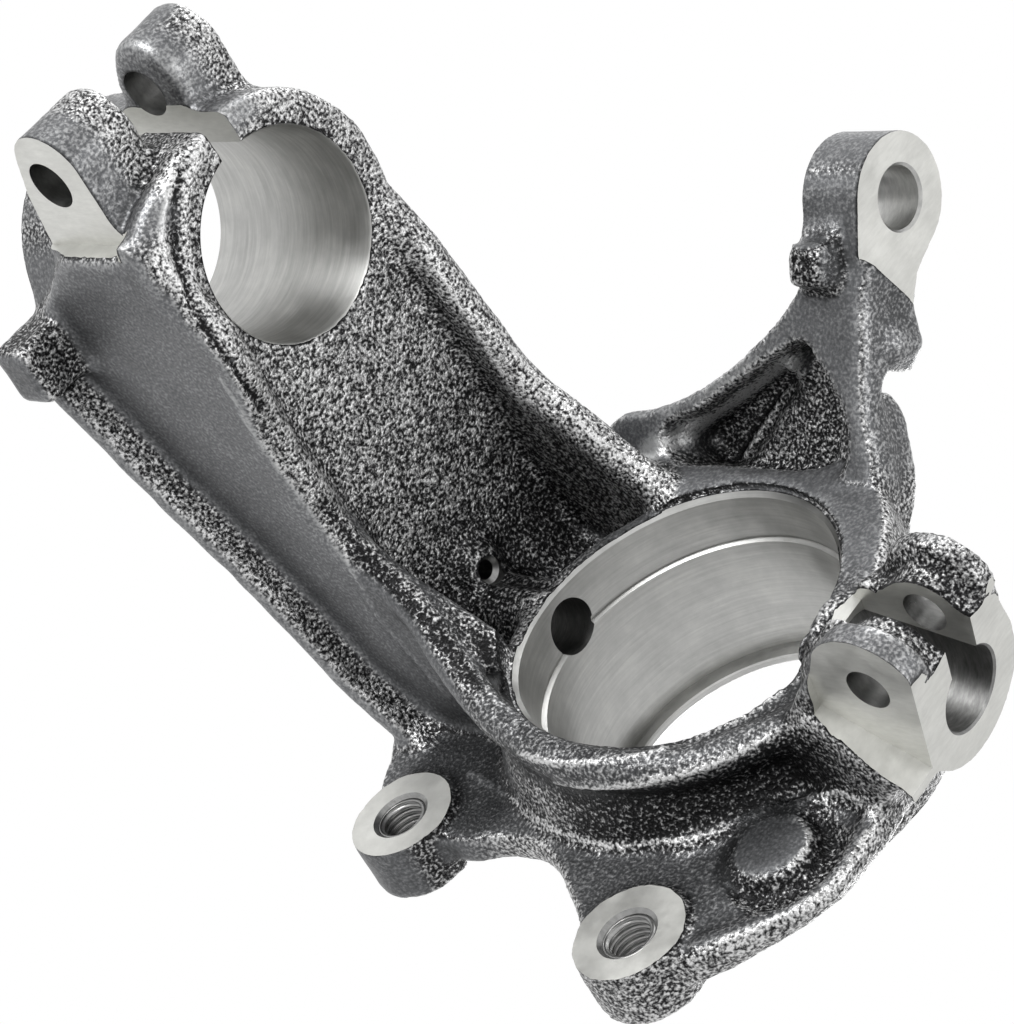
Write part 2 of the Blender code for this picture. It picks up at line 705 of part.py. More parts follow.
def sensor_boss(stock):
    """The boss round the wheel speed sensor's hole, from the hub to the arm, and its screw's boss."""
    foot = (SENSOR_SCREW_X, HUB_NEAR_Y - 2, CLAMP_FOOT_Z - SENSOR_BOSS_RISE)
    up = (0, 0, 1)
    pieces = [cylinder("screw_boss", foot, up, SENSOR_BOSS_RISE + 4, SENSOR_BOSS_R, stock)]
    foot = (0, -SENSOR_INBOARD, HUB_BORE_R + 2)
    top = CLAMP_FOOT_Z + 6
    radius = SENSOR_R + SENSOR_WALL
    pieces.append(cylinder("sensor_boss", foot, up, top - foot[2], radius, stock))
    return pieces


def machining(tools):
    """The cutters for what is bored, milled or drilled after casting."""
    cutters = []
    bore = [
        (0, HUB_FAR_Y + 20),
        (HUB_LIP_R + 1, HUB_FAR_Y + 20),
        (HUB_LIP_R + 1, HUB_FAR_Y - 0.6),
        (HUB_LIP_R, HUB_FAR_Y - 1.2),
        (HUB_LIP_R, HUB_FAR_Y - HUB_LIP),
        (HUB_BORE_R, HUB_FAR_Y - HUB_LIP),
        (HUB_BORE_R, HUB_NEAR_Y + HUB_MOUTH_DEPTH),
        (HUB_BORE_R + HUB_MOUTH_STEP, HUB_NEAR_Y + HUB_MOUTH_DEPTH - 1),
        (HUB_BORE_R + HUB_MOUTH_STEP, HUB_NEAR_Y + 1.5),
        (HUB_MOUTH_R + 0.5, HUB_NEAR_Y - 0.5),
        (HUB_MOUTH_R + 0.5, HUB_NEAR_Y - 30),
        (0, HUB_NEAR_Y - 30),
    ]
    cutters.append(turned("cut_hub_bore", bore, tools))
    face = cylinder("cut_hub_far_face", (0, HUB_FAR_Y, 0), (0, 1, 0), 30, HUB_R + 20, tools)
    cutters.append(face)
    return cutters + clamp_cutters(tools) + ball_cutters(tools) + drill_cutters(tools)


def clamp_cutters(tools):
    foot = Vector((STRUT_X, STRUT_Y, CLAMP_FOOT_Z - 30))
    far = STRUT_Y - 70
    bolt = (STRUT_X - 60, CLAMP_BOLT_Y, CLAMP_BOLT_Z)
    edge = STRUT_Y - CLAMP_FACE_EDGE
    half = CLAMP_SLIT / 2
    slit = STRUT_X + CLAMP_SLIT_SHIFT
    gap = CLAMP_EAR_GAP / 2
    return [
        cylinder("cut_strut_bore", foot, (0, 0, 1), CLAMP_HEIGHT + 60, STRUT_BORE_R, tools, sides=64),
        box(
            "cut_strut_slit",
            (slit - half, far, CLAMP_FOOT_Z - 30),
            (slit + half, STRUT_Y, CLAMP_TOP_Z + 30),
            tools,
        ),
        box(
            "cut_ear_gap",
            (CLAMP_EAR_X - gap, far, CLAMP_FOOT_Z - 30),
            (CLAMP_EAR_X + gap, STRUT_Y - CLAMP_R + 1, CLAMP_TOP_Z + 30),
            tools,
        ),
        cylinder("cut_clamp_bolt", bolt, (1, 0, 0), 120, CLAMP_BOLT_R, tools, sides=32),
        box(
            "cut_ear_face",
            (CLAMP_FACE_X - 30, far, CLAMP_BOLT_Z - CLAMP_EAR_R - 3),
            (CLAMP_FACE_X, edge, CLAMP_BOLT_Z + CLAMP_EAR_R + 5),
            tools,
        ),
        box(
            "cut_clamp_top",
            (STRUT_X - 70, STRUT_Y - 80, CLAMP_TOP_Z),
            (STRUT_X + 70, STRUT_Y + 60, CLAMP_TOP_Z + 30),
            tools,
        ),
    ]


def ball_cutters(tools):
    below = BALL_FOOT - BALL_UP * 30
    frame = Matrix((BALL_IN, BALL_UP, BALL_IN.cross(BALL_UP))).transposed()
    half = BALL_SLIT / 2
    bolt = BALL_BOLT - Vector((60, 0, 0))
    top = BALL_BOLT_RISE + BALL_EAR_R
    face = [(-12.5, -20), (60, -20), (60, top + 6), (BALL_BOLT_REACH - 2, top + 1), (2.9, top)]
    middle = BALL_FOOT + Vector((-BALL_R - 20, 0, 0))
    return [
        cylinder("cut_ball_bore", below, BALL_UP, BALL_HEIGHT + 42, BALL_BORE_R, tools),
        box("cut_ball_foot", (-30, -40, -60), (70, 0, 60), tools, frame, BALL_FOOT),
        box(
            "cut_ball_slit",
            (0, -10, -half),
            (60, BALL_HEIGHT + 6, half),
            tools,
            frame,
            BALL_FOOT,
        ),
        cylinder("cut_ball_bolt", bolt, (1, 0, 0), 120, BALL_BOLT_R, tools, sides=32),
        slab("cut_ball_face", face, frame, middle, 40, tools, rounded=False),
    ]


def drill_cutters(tools):
    cutters = []
    for name, (x, z) in (("upper", BOSS_UPPER), ("lower", BOSS_LOWER)):
        front = (x, BOSS_FACE_Y - 20, z)
        cutters.append(
            cylinder("cut_boss_bore_" + name, front, (0, 1, 0), 60, BOSS_BORE_R, tools, sides=32)
        )
        cutters.append(
            cylinder("cut_boss_face_" + name, front, (0, 1, 0), 20, BOSS_R + 3, tools, sides=48)
        )
    foot = (EYE_X, EYE_Y, EYE_FOOT_Z - 20)
    cutters.append(cylinder("cut_eye_bore", foot, (0, 0, 1), 60, EYE_BORE_R, tools, sides=40))
    cutters.append(cylinder("cut_eye_face", foot, (0, 0, 1), 20, EYE_R + 2, tools, sides=48))
    edge = [(-20.5, 0), (-13, 20), (0, 17), (17, 17), (17, 0), (0, -17), (-17, -5)]
    milled = [(EYE_X + x, EYE_Y + y) for x, y in edge]
    middle = (0, 0, EYE_FOOT_Z - 10)
    cutters.append(slab("cut_eye_side", milled, ACROSS_Z, middle, 20, tools, rounded=False))
    foot = (0, -SENSOR_INBOARD, 0)
    cutters.append(cylinder("cut_sensor", foot, (0, 0, 1), 2 * HUB_R, SENSOR_R, tools, sides=32))
    foot = (SENSOR_SCREW_X, HUB_NEAR_Y - 2, CLAMP_FOOT_Z - 30)
    cutters.append(cylinder("cut_screw", foot, (0, 0, 1), 40, SENSOR_SCREW_R, tools, sides=24))
    top = (EYE_X, EYE_Y, EYE_FOOT_Z + EYE_HEIGHT)
    cutters.append(cylinder("cut_eye_top", top, (0, 0, 1), 20, EYE_R + 2, tools, sides=48))
    return cutters


def iron():
    material = bpy.data.materials.new("cast_iron")
    material.use_nodes = True
    shader = material.node_tree.nodes["Principled BSDF"]
    shader.inputs["Base Color"].default_value = (0.11, 0.11, 0.115, 1)
    shader.inputs["Metallic"].default_value = 0.8
    shader.inputs["Roughness"].default_value = 0.45
    return material


def cast(pieces, collection):
    """Joins the pieces into one body with the rounded inner and outer corners of a casting."""
    joined = bpy.data.meshes.new("steering_knuckle")
    shape = bmesh.new()
    for piece in pieces:
        shape.from_mesh(piece.data)
    shape.to_mesh(joined)
    shape.free()
    blank = bpy.data.objects.new("casting_blank", joined)
    collection.objects.link(blank)
    remesh = blank.modifiers.new("union", "REMESH")
    remesh.mode = "VOXEL"
    remesh.voxel_size = CAST_VOXEL * MM
    smooth = blank.modifiers.new("fillets", "SMOOTH")
    smooth.factor = 0.5
    smooth.iterations = CAST_SMOOTH
    dense = evaluated_mesh(blank)
    blank.modifiers.clear()
    blank.data = dense
    decimate = blank.modifiers.new("decimate", "DECIMATE")
    decimate.ratio = min(1.0, CAST_TRIANGLES / (2 * len(dense.polygons)))
    thing = bpy.data.objects.new("steering_knuckle", evaluated_mesh(blank))
    bpy.data.objects.remove(blank, do_unlink=True)
    return thing


def main():
    clear_scene()
    model = new_collection("steering_knuckle")
    stock = new_collection("casting_pieces")
    tools = new_collection("cutters")
    pieces = arm(stock, tools)
    pieces += strut_clamp(stock)
    pieces += hub(stock, tools)
    pieces += caliper_plate(stock, tools)
    pieces += steering_arm(stock, tools)
    pieces += ball_clamp(stock)
    pieces += sensor_boss(stock)
    knuckle = cast(pieces, stock)
    model.objects.link(knuckle)
    cutters = machining(tools)
    cut(knuckle, cutters)
    knuckle.data.materials.append(iron())
    for helper in list(stock.objects) + list(tools.objects):
        helper.hide_render = True
        helper.display_type = "WIRE"


main()
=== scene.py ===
# Steering knuckle, cast iron with machined faces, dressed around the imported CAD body.
import math

import bmesh
import bpy
import numpy as np
from mathutils import Matrix, Vector
from mathutils.bvhtree import BVHTree


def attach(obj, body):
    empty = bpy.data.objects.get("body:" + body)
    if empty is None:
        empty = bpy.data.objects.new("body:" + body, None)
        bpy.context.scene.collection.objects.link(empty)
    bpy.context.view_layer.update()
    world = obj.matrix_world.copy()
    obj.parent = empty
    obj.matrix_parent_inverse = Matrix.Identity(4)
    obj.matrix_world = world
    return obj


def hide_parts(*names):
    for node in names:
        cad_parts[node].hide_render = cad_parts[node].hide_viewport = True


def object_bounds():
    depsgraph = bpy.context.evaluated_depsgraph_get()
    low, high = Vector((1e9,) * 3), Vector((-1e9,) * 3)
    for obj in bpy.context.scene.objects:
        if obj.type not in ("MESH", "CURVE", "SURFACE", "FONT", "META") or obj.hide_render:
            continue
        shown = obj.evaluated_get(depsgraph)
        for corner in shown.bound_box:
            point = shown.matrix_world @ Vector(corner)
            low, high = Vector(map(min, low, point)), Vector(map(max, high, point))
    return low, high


mm = 0.001

print("frame: loading the packed knuckle")
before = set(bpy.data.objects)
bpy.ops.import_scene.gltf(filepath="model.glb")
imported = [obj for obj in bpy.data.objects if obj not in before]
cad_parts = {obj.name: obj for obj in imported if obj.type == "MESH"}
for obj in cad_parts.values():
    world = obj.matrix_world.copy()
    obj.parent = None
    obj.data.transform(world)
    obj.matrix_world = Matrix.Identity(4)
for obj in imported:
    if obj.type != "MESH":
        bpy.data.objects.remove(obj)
cadBox = [list(corner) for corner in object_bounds()]
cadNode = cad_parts["steering_knuckle"]

alongX = (1, 0, 0)
alongY = (0, 1, 0)
alongZ = (0, 0, 1)

# Places and sizes of what is machined, in millimetres, in the frame's axes. A bore is given by its radius
machined = {
    "hubBore": 41.0,  # the wheel bearing's seat
    "hubMouth": 42.5,
    "hubStep": 41.7,
    "hubLip": 36.6,
    "hubNear": -23.0,  # y of the inboard rim
    "hubFar": 29.0,
    "hubMouthDepth": 14.0,
    "hubLipThick": 2.6,
    "strutAt": (9.5, -129.2),  # x, y
    "strutBore": 25.7,
    "clampFoot": 71.0,  # z
    "clampTop": 131.0,
    "clampR": 34.9,
    "slit": (4.9, 12.3),  # x of its two walls
    "slitEnd": 36.5,  # from the strut's axis
    "earFace": -22.4,  # x
    "earBolt": (-169.2, 96.5),  # y, z
    "earBoltR": 6.4,
    "earR": 14.2,
    "earTipR": 11.2,
    "earEdge": -151.6,  # y where the milled face ends
    "bossFace": -3.4,  # y
    "bossBack": 12.6,
    "bossR": 13.3,
    "bossBore": 6.5,  # behind the thread
    "bossSink": 8.2,
    "bosses": ((-59.6, 58.9), (-76.4, -31.5)),  # x, z
    "eyeAt": (99.4, -69.2),  # x, y
    "eyeFoot": -26.4,  # z
    "eyeTop": -9.4,
    "eyeR": 15.7,
    "eyeBore": 7.7,
    "eyeTail": ((78.7, -67.6), (86.4, -49.0)),  # x, y where its milled face ends on the arm
    "ballFoot": (-1.9, -14.6, -85.2),
    "ballTilt": 14.5,  # degrees
    "ballBore": 10.0,
    "ballR": 18.6,
    "ballSlit": 10.6,
    "ballBolt": (14.5, 12.0),  # in, up from the foot
    "ballBoltR": 5.4,
    "ballEarR": 14.6,
    "ballInnerR": 10.8,
    "ballFaceEdge": ((-12.5, -20.0), (2.9, 26.6)),  # in, up: where its milled face ends
    "sensorAt": (0.3, -12.5),  # x, y
    "sensorR": 7.2,
    "screwAt": (4.0, -25.0),  # x, y
    "screwR": 2.6,
    "screwSink": 3.7,
}

# Stock that fills each bore and stands proud of each milled face, in millimetres. Each piece of it reaches
# well into the wall round it, since a thin gap would leave a sheet inside the skin
stock = {
    "proud": 2.0,  # past a face that is cut
    "bite": 2.6,  # into the wall
    "inset": 0.3,  # back from a wall that has to stay
    "hubR": 44.0,
    "hubLong": 50.0,
    "hubFarR": 50.6,
    "hubFarLong": 3.0,
    "rimSlope": 0.131,  # fall of the cast rim for each mm below rimLevel
    "rimLevel": 4.0,  # z
    "rimSide": 30.0,  # x
    "slit": (34.0, 22.0),  # from the strut's axis
    "earGap": (-2.0, 12.4),  # x of the ears' inner walls
    "rearEarLong": 17.8,
    "bossLong": 5.0,
    "bossCoreR": 9.2,
    "ballLong": 38.0,
    "ballFootLong": 5.0,
    "ballInnerShift": 1.6,
    "ballBolt": (17.0, 33.0),  # how far before the foot's middle it starts, and its length
    "ballWallTop": ((-2.0, -29.6), (25.6, -22.6)),  # up, x
    "ballWallOut": 3.4,
    "slotEnd": ((-1.5, 28.0), (14.0, 27.5), (11.0, 33.0), (-1.5, 36.5)),  # in, up
    "crownRoot": ((-1.5, 29.5), (17.0, 25.0), (13.0, 30.5), (6.0, 34.8), (-1.5, 36.8)),
    "crownRootSpan": (-4.0, 9.5),
    "sensorFoot": 43.0,  # z
    "sensorLong": 33.0,
    "screwFoot": 66.5,  # z
    "screwLong": 10.0,
    "screwCoreR": 5.3,
}

# How far the cutters run, in millimetres
reach = {
    "past": 20.0,  # past the metal
    "farPast": 30.0,  # past the strut clamp, the hub's mouth and the ball joint clamp's face
    "bolt": 60.0,  # to each side of a clamp
    "sensor": 100.0,
    "earFar": -199.0,  # y
}

# Mesh of the cast body
castBody = {
    "voxel": 1.3,  # mm
    "relaxSteps": 16,
    "swell": 0.08,  # mm, slow waves of the mould
    "swellSize": 14,  # mm from crest to crest
    "swellWaves": 9,
    "swellSeed": 3,
    "pebble": 0.07,  # mm, shot-blasted lumps as coarse as the mesh can carry
    "pebbleSeed": 7,
    "smoothest": 0.92,  # share of the pebbles that a smooth face loses
    "sharpAngle": 38.0,  # degrees
    "weld": 0.01,  # mm between points of the CAD body that are one
    "weldCuts": 0.004,  # mm
    "sliver": 0.002,  # mm
}


def linear(hexColour):
    # sRGB hex to linear: c/12.92 below 0.04045, ((c + 0.055) / 1.055) ** 2.4 above
    parts = [int(hexColour[i : i + 2], 16) / 255 for i in (1, 3, 5)]
    return [c / 12.92 if c <= 0.04045 else ((c + 0.055) / 1.055) ** 2.4 for c in parts] + [1.0]


def meshObject(name, points, faces):
    mesh = bpy.data.meshes.new(name)
    mesh.from_pydata([tuple(p) for p in np.asarray(points, float)], [], faces)
    mesh.update()
    thing = bpy.data.objects.new(name, mesh)
    bpy.context.scene.collection.objects.link(thing)
    return thing


def faceOutward(mesh):
    shape = bmesh.new()
    shape.from_mesh(mesh)
    bmesh.ops.recalc_face_normals(shape, faces=shape.faces)
    shape.to_mesh(mesh)
    shape.free()


def ringSurface(name, profile, foot, axis, around=96, ripple=None, closed=True):
    # A profile of (radius, height) swept round an axis: p = foot + axis*h + r*(u cos t + v sin t).
    # A closed profile makes a ring, an open one a solid whose two ends are flat discs
    profile = np.asarray(profile, float)
    axis = np.asarray(axis, float)
    axis = axis / np.linalg.norm(axis)
    side = np.cross(axis, (0.0, 0.0, 1.0) if abs(axis[2]) < 0.9 else (1.0, 0.0, 0.0))
    side = side / np.linalg.norm(side)
    other = np.cross(axis, side)
    n = len(profile)
    t = np.linspace(0, 2 * math.pi, around, endpoint=False)[:, None]
    r = np.broadcast_to(profile[:, 0], (around, n)).copy()
    if ripple is not None:
        r = r + ripple(t, profile[:, 1][None, :])
    h = np.broadcast_to(profile[:, 1], r.shape)
    grid = np.asarray(foot, float) + h[..., None] * axis
    grid = grid + r[..., None] * (np.cos(t)[..., None] * side + np.sin(t)[..., None] * other)
    i, j = np.meshgrid(np.arange(around), np.arange(n if closed else n - 1), indexing="ij")
    after = (i + 1) % around
    quads = np.stack([i * n + j, after * n + j, after * n + (j + 1) % n, i * n + (j + 1) % n], -1)
    faces = quads.reshape(-1, 4).tolist()
    if not closed:
        ring = np.arange(around) * n
        faces += [ring.tolist(), (ring[::-1] + n - 1).tolist()]
    thing = meshObject(name, grid.reshape(-1, 3) * mm, faces)
    faceOutward(thing.data)
    return thing


def lathe(name, profile, foot, axis, around=96):
    return ringSurface(name, profile, foot, axis, around, closed=False)


def rod(name, foot, axis, length, radius, around=96):
    return lathe(name, [(radius, 0), (radius, length)], foot, axis, around)


def prism(name, outline, origin, across, up, thick):
    # A flat outline in the plane of across and up, carried along their cross product,
    # which is -X for the ball joint clamp
    across = np.asarray(across, float)
    up = np.asarray(up, float)
    out = np.cross(across, up)
    flat = np.asarray(outline, float)
    base = np.asarray(origin, float) + flat[:, :1] * across + flat[:, 1:] * up
    points = np.concatenate([base, base + out * thick])
    n = len(flat)
    faces = [list(range(n)), list(range(2 * n - 1, n - 1, -1))]
    faces += [[k, (k + 1) % n, n + (k + 1) % n, n + k] for k in range(n)]
    thing = meshObject(name, points * mm, faces)
    faceOutward(thing.data)
    return thing


def block(name, low, high):
    outline = [(low[0], low[1]), (high[0], low[1]), (high[0], high[1]), (low[0], high[1])]
    return prism(name, outline, (0, 0, low[2]), (1, 0, 0), (0, 1, 0), high[2] - low[2])


def arcPoints(middle, radius, first, last, steps):
    t = np.radians(np.linspace(first, last, steps + 1))
    return [(middle[0] + radius * math.cos(a), middle[1] + radius * math.sin(a)) for a in t]


def joined(name, things, material=None):
    shape = bmesh.new()
    for thing in things:
        shape.from_mesh(thing.data)
        bpy.data.objects.remove(thing, do_unlink=True)
    mesh = bpy.data.meshes.new(name)
    shape.to_mesh(mesh)
    shape.free()
    if material is not None:
        mesh.materials.append(material)
    result = bpy.data.objects.new(name, mesh)
    bpy.context.scene.collection.objects.link(result)
    return result


def baked(thing):
    # The object's mesh with its modifiers applied
    bpy.context.view_layer.update()
    graph = bpy.context.evaluated_depsgraph_get()
    mesh = bpy.data.meshes.new_from_object(thing.evaluated_get(graph))
    thing.modifiers.clear()
    thing.data = mesh
    return thing


def readPoints(mesh):
    co = np.empty(len(mesh.vertices) * 3)
    mesh.vertices.foreach_get("co", co)
    return co.reshape(-1, 3)


def readNormals(mesh):
    no = np.empty(len(mesh.vertices) * 3)
    mesh.vertices.foreach_get("normal", no)
    return no.reshape(-1, 3)


# The ball joint clamp's own directions: up along its tilted bore, in towards the car
tilt = math.radians(machined["ballTilt"])
ballUp = np.array([0.0, -math.sin(tilt), math.cos(tilt)])
ballIn = np.array([0.0, -math.cos(tilt), -math.sin(tilt)])
ballFoot = np.array(machined["ballFoot"])
ballBoltAt = ballFoot + ballIn * machined["ballBolt"][0] + ballUp * machined["ballBolt"][1]


def earOutline():
    # The milled face's own outline, a little inside the ear's
    by, bz = machined["earBolt"]
    radius = machined["earR"] - stock["inset"]
    tipR = machined["earTipR"] - stock["inset"]
    lean = machined["earR"] - machined["earTipR"]
    root = machined["earEdge"] + 2
    corners = [(root, bz - radius + 1), (root, bz + radius + 1.5), (by + 4, bz + radius - 1.8)]
    return corners + arcPoints((by - lean, bz - lean), tipR, 110, 262, 14)


def ballTip(middle, radius):
    # The round end of a ball joint clamp's ear
    return arcPoints(middle, radius, -56, 84, 10)


def eyeOutline(radius, out):
    # A teardrop in the plane of the floor: round the eye, and pointed where it runs onto the arm
    eye = np.array(machined["eyeAt"])
    one, two = (np.array(p) for p in machined["eyeTail"])
    way = (two - one) / np.linalg.norm(two - one) * out
    one = one - way
    two = two + way

    def touch(p, turn):
        gap = p - eye
        return math.atan2(gap[1], gap[0]) + turn * math.acos(min(1, radius / np.linalg.norm(gap)))

    first = math.degrees(touch(two, -1))
    last = math.degrees(touch(one, 1)) % 360 - 360
    return [tuple(one), tuple(two)] + arcPoints(eye, radius, first, last, 36)


def ballPrism(name, outline, start, long):
    # An outline in the ball joint clamp's own plane, carried along -X from start
    return prism(name, outline, ballFoot + np.array([start, 0, 0]), ballIn, ballUp, long)


def ballWall():
    # Stock beside the ball joint clamp's milled face, level with the swell of the plate,
    # so that the cut leaves a crisp wall there: a hexahedron of (in, up, x) corners
    low, high = (np.array(p) for p in machined["ballFaceEdge"])
    run = (high - low) / np.linalg.norm(high - low)
    out = np.array([run[1], -run[0]])
    face = machined["ballFoot"][0] - machined["ballR"] + stock["bite"]
    corners = []
    for up, x in stock["ballWallTop"]:
        on = low + run * (up - low[1]) / run[1]
        for gap, depth in ((-stock["bite"], x), (stock["ballWallOut"], x - stock["inset"])):
            for side in (face, depth):
                a, b = on + out * gap
                corners.append(ballFoot * (0, 1, 1) + ballIn * a + ballUp * b + np.array([side, 0, 0]))
    faces = [(0, 1, 3, 2), (4, 6, 7, 5), (0, 4, 5, 1), (2, 3, 7, 6), (0, 2, 6, 4), (1, 5, 7, 3)]
    thing = meshObject("fillBallWall", np.array(corners) * mm, faces)
    faceOutward(thing.data)
    return thing


def hubStock():
    # The near end follows the cast rim, which falls away towards the foot
    near = machined["hubNear"]
    ends = [(stock["hubR"], 0), (stock["hubR"], stock["hubLong"])]
    hub = lathe("fillHub", ends, (0, near + 0.2, 0), alongY, 128)
    co = readPoints(hub.data) / mm
    rim = co[:, 1] < near + 1
    fall = stock["rimSlope"] * np.maximum(0, stock["rimLevel"] - co[:, 2]) * (co[:, 0] < stock["rimSide"])
    co[rim, 1] += fall[rim]
    hub.data.vertices.foreach_set("co", (co * mm).ravel())
    deep = stock["hubFarLong"]
    foot = (0, machined["hubFar"] - deep, 0)
    return [hub, rod("fillFar", foot, alongY, deep + stock["proud"], stock["hubFarR"], 128)]


def strutStock():
    m = machined
    proud = stock["proud"]
    bite = stock["bite"]
    inset = stock["inset"]
    sx, sy = m["strutAt"]
    foot = m["clampFoot"]
    top = m["clampTop"]
    tall = top - foot + proud - inset
    low, high = m["slit"]
    outer, inner = stock["slit"]
    face = m["earFace"]
    by, bz = m["earBolt"]
    first, last = stock["earGap"]
    wide = m["earBoltR"] + bite
    return [
        rod("fillStrut", (sx, sy, foot + inset), alongZ, tall, m["strutBore"] + bite),
        rod("fillClampTop", (sx, sy, top - bite), alongZ, bite + proud, m["clampR"] - 0.4),
        block("fillSlit", (low - bite, sy - outer, foot + 1), (high + bite, sy - inner, top + proud)),
        prism("fillEar", earOutline(), (face + bite, 0, 0), alongY, alongZ, -bite - proud),
        rod("fillEarBoltFront", (face + 1, by, bz), alongX, first - face - 1.2, wide, 48),
        rod("fillEarBoltRear", (last + 0.2, by, bz), alongX, stock["rearEarLong"], wide, 48),
    ]


def bossStock():
    m = machined
    things = []
    for k, (x, z) in enumerate(m["bosses"]):
        foot = (x, m["bossFace"] - stock["proud"], z)
        deep = m["bossBack"] - foot[1] - stock["inset"]
        things.append(rod(f"fillBoss{k}", foot, alongY, stock["bossLong"], m["bossR"], 64))
        things.append(rod(f"fillBore{k}", foot, alongY, deep, stock["bossCoreR"], 48))
    return things


def eyeStock():
    m = machined
    proud = stock["proud"]
    ex, ey = m["eyeAt"]
    low = m["eyeFoot"] - proud
    tall = m["eyeTop"] - m["eyeFoot"] + 2 * proud
    tail = eyeOutline(m["eyeR"] - 0.1, 0)
    return [
        rod("fillEye", (ex, ey, low), alongZ, tall, m["eyeR"], 64),
        prism("fillEyeTail", tail, (0, 0, low), alongX, alongY, proud + stock["bite"]),
    ]


def ballStock():
    m = machined
    proud = stock["proud"]
    bite = stock["bite"]
    inset = stock["inset"]
    foot = ballFoot - ballUp * proud
    half = m["ballSlit"] / 2 + bite
    across, rise = m["ballBolt"]
    innerR = m["ballInnerR"] - inset
    inner = [(0, -proud)] + ballTip((across - stock["ballInnerShift"], rise), innerR)
    inner += [(-4, rise + innerR + 8), (-14, 16)]
    edgeIn, edgeUp = m["ballFaceEdge"][1]
    outer = [(-5, -proud)] + ballTip(m["ballBolt"], m["ballEarR"] - inset) + [(edgeIn + 0.6, edgeUp - 1)]
    rootStart, rootLong = stock["crownRootSpan"]
    boltStart, boltLong = stock["ballBolt"]
    boltFoot = ballBoltAt - np.array([boltStart, 0, 0])
    return [
        rod("fillBall", foot, ballUp, stock["ballLong"], m["ballBore"] + bite, 48),
        rod("fillBallFoot", foot, ballUp, stock["ballFootLong"], m["ballR"], 64),
        ballPrism("fillBallSlit", inner, half, 2 * half),
        ballPrism("fillBallFace", outer, bite - m["ballR"], bite + proud),
        ballWall(),
        ballPrism("fillSlotEnd", stock["slotEnd"], half, 2 * half),
        ballPrism("fillCrownRoot", stock["crownRoot"], rootStart, rootLong),
        rod("fillBallBolt", boltFoot, alongX, boltLong, m["ballBoltR"] + bite, 48),
    ]


def sensorStock():
    m = machined
    foot = (0, m["sensorAt"][1], stock["sensorFoot"])
    screwFoot = (*m["screwAt"], stock["screwFoot"])
    return [
        rod("fillSensor", foot, alongZ, stock["sensorLong"], m["sensorR"] + stock["bite"], 48),
        rod("fillScrew", screwFoot, alongZ, stock["screwLong"], stock["screwCoreR"], 48),
    ]


def allStock():
    return hubStock() + strutStock() + bossStock() + eyeStock() + ballStock() + sensorStock()


def hubProfile():
    # Radius and y, from inboard: chamfer, mouth step, groove, bore, undercut, lip, chamfer
    m = machined
    near = m["hubNear"]
    far = m["hubFar"]
    depth = near + m["hubMouthDepth"]
    lip = far - m["hubLipThick"]
    return [
        (m["hubMouth"] + 0.8, near - 6),
        (m["hubMouth"] + 0.8, near - 1.2),
        (m["hubMouth"] + 0.2, near - 0.3),
        (m["hubStep"], near + 0.9),
        (m["hubStep"], depth - 0.8),
        (m["hubStep"] + 0.5, depth - 0.5),
        (m["hubStep"] + 0.5, depth + 0.4),
        (m["hubBore"], depth + 1.0),
        (m["hubBore"], lip - 1.4),
        (m["hubBore"] + 0.5, lip - 1.2),
        (m["hubBore"] + 0.5, lip),
        (m["hubLip"] + 0.4, lip),
        (m["hubLip"], lip + 0.4),
        (m["hubLip"], far - 0.8),
        (m["hubLip"] + 1.0, far + 0.3),
        (m["hubLip"] + 1.0, far + reach["past"]),
    ]


def strutProfile():
    # Radius and height above the clamp's foot, with a chamfer at each end
    bore = machined["strutBore"]
    tall = machined["clampTop"] - machined["clampFoot"]
    return [
        (bore + 1.3, -reach["farPast"]),
        (bore + 0.8, -0.4),
        (bore, 0.7),
        (bore, tall - 1.0),
        (bore + 1.6, tall + 0.6),
        (bore + 1.6, tall + reach["farPast"]),
    ]


def eyeProfile():
    # Radius and height above the eye's milled foot, with a chamfer at each end
    bore = machined["eyeBore"]
    tall = machined["eyeTop"] - machined["eyeFoot"]
    return [
        (bore + 1.0, -reach["past"]),
        (bore + 0.9, -0.2),
        (bore, 0.7),
        (bore, tall - 0.7),
        (bore + 0.9, tall + 0.2),
        (bore + 1.0, tall + reach["past"]),
    ]


def ballProfile():
    # Radius and height along the tilted bore, with a chamfer at its foot
    bore = machined["ballBore"]
    return [(bore + 0.7, -reach["past"]), (bore + 0.6, -0.1), (bore, 0.5), (bore, 42)]


def faceCutters():
    m = machined
    past = reach["past"]
    sx, sy = m["strutAt"]
    ex, ey = m["eyeAt"]
    bz = m["earBolt"][1]
    wide = m["earR"] + 4
    edge = m["earEdge"]
    ear = [(reach["earFar"], bz - wide), (reach["earFar"], bz + wide), (edge, bz + wide), (edge, bz - wide)]
    eye = eyeOutline(m["eyeR"] + 4, 8)
    things = [
        rod("cutHubFar", (0, m["hubFar"], 0), alongY, past, 64),
        prism("cutEyeFoot", eye, (0, 0, m["eyeFoot"]), alongX, alongY, -past),
        rod("cutEyeTop", (ex, ey, m["eyeTop"]), alongZ, past, m["eyeR"] + 2, 72),
        prism("cutEarFace", ear, (m["earFace"], 0, 0), alongY, alongZ, -past),
        rod("cutClampTop", (sx, sy, m["clampTop"]), alongZ, past, m["clampR"] + 1.8, 144),
    ]
    for k, (x, z) in enumerate(m["bosses"]):
        things.append(rod(f"cutBossFace{k}", (x, m["bossFace"] - past, z), alongY, past, m["bossR"] + 3, 72))
    return things


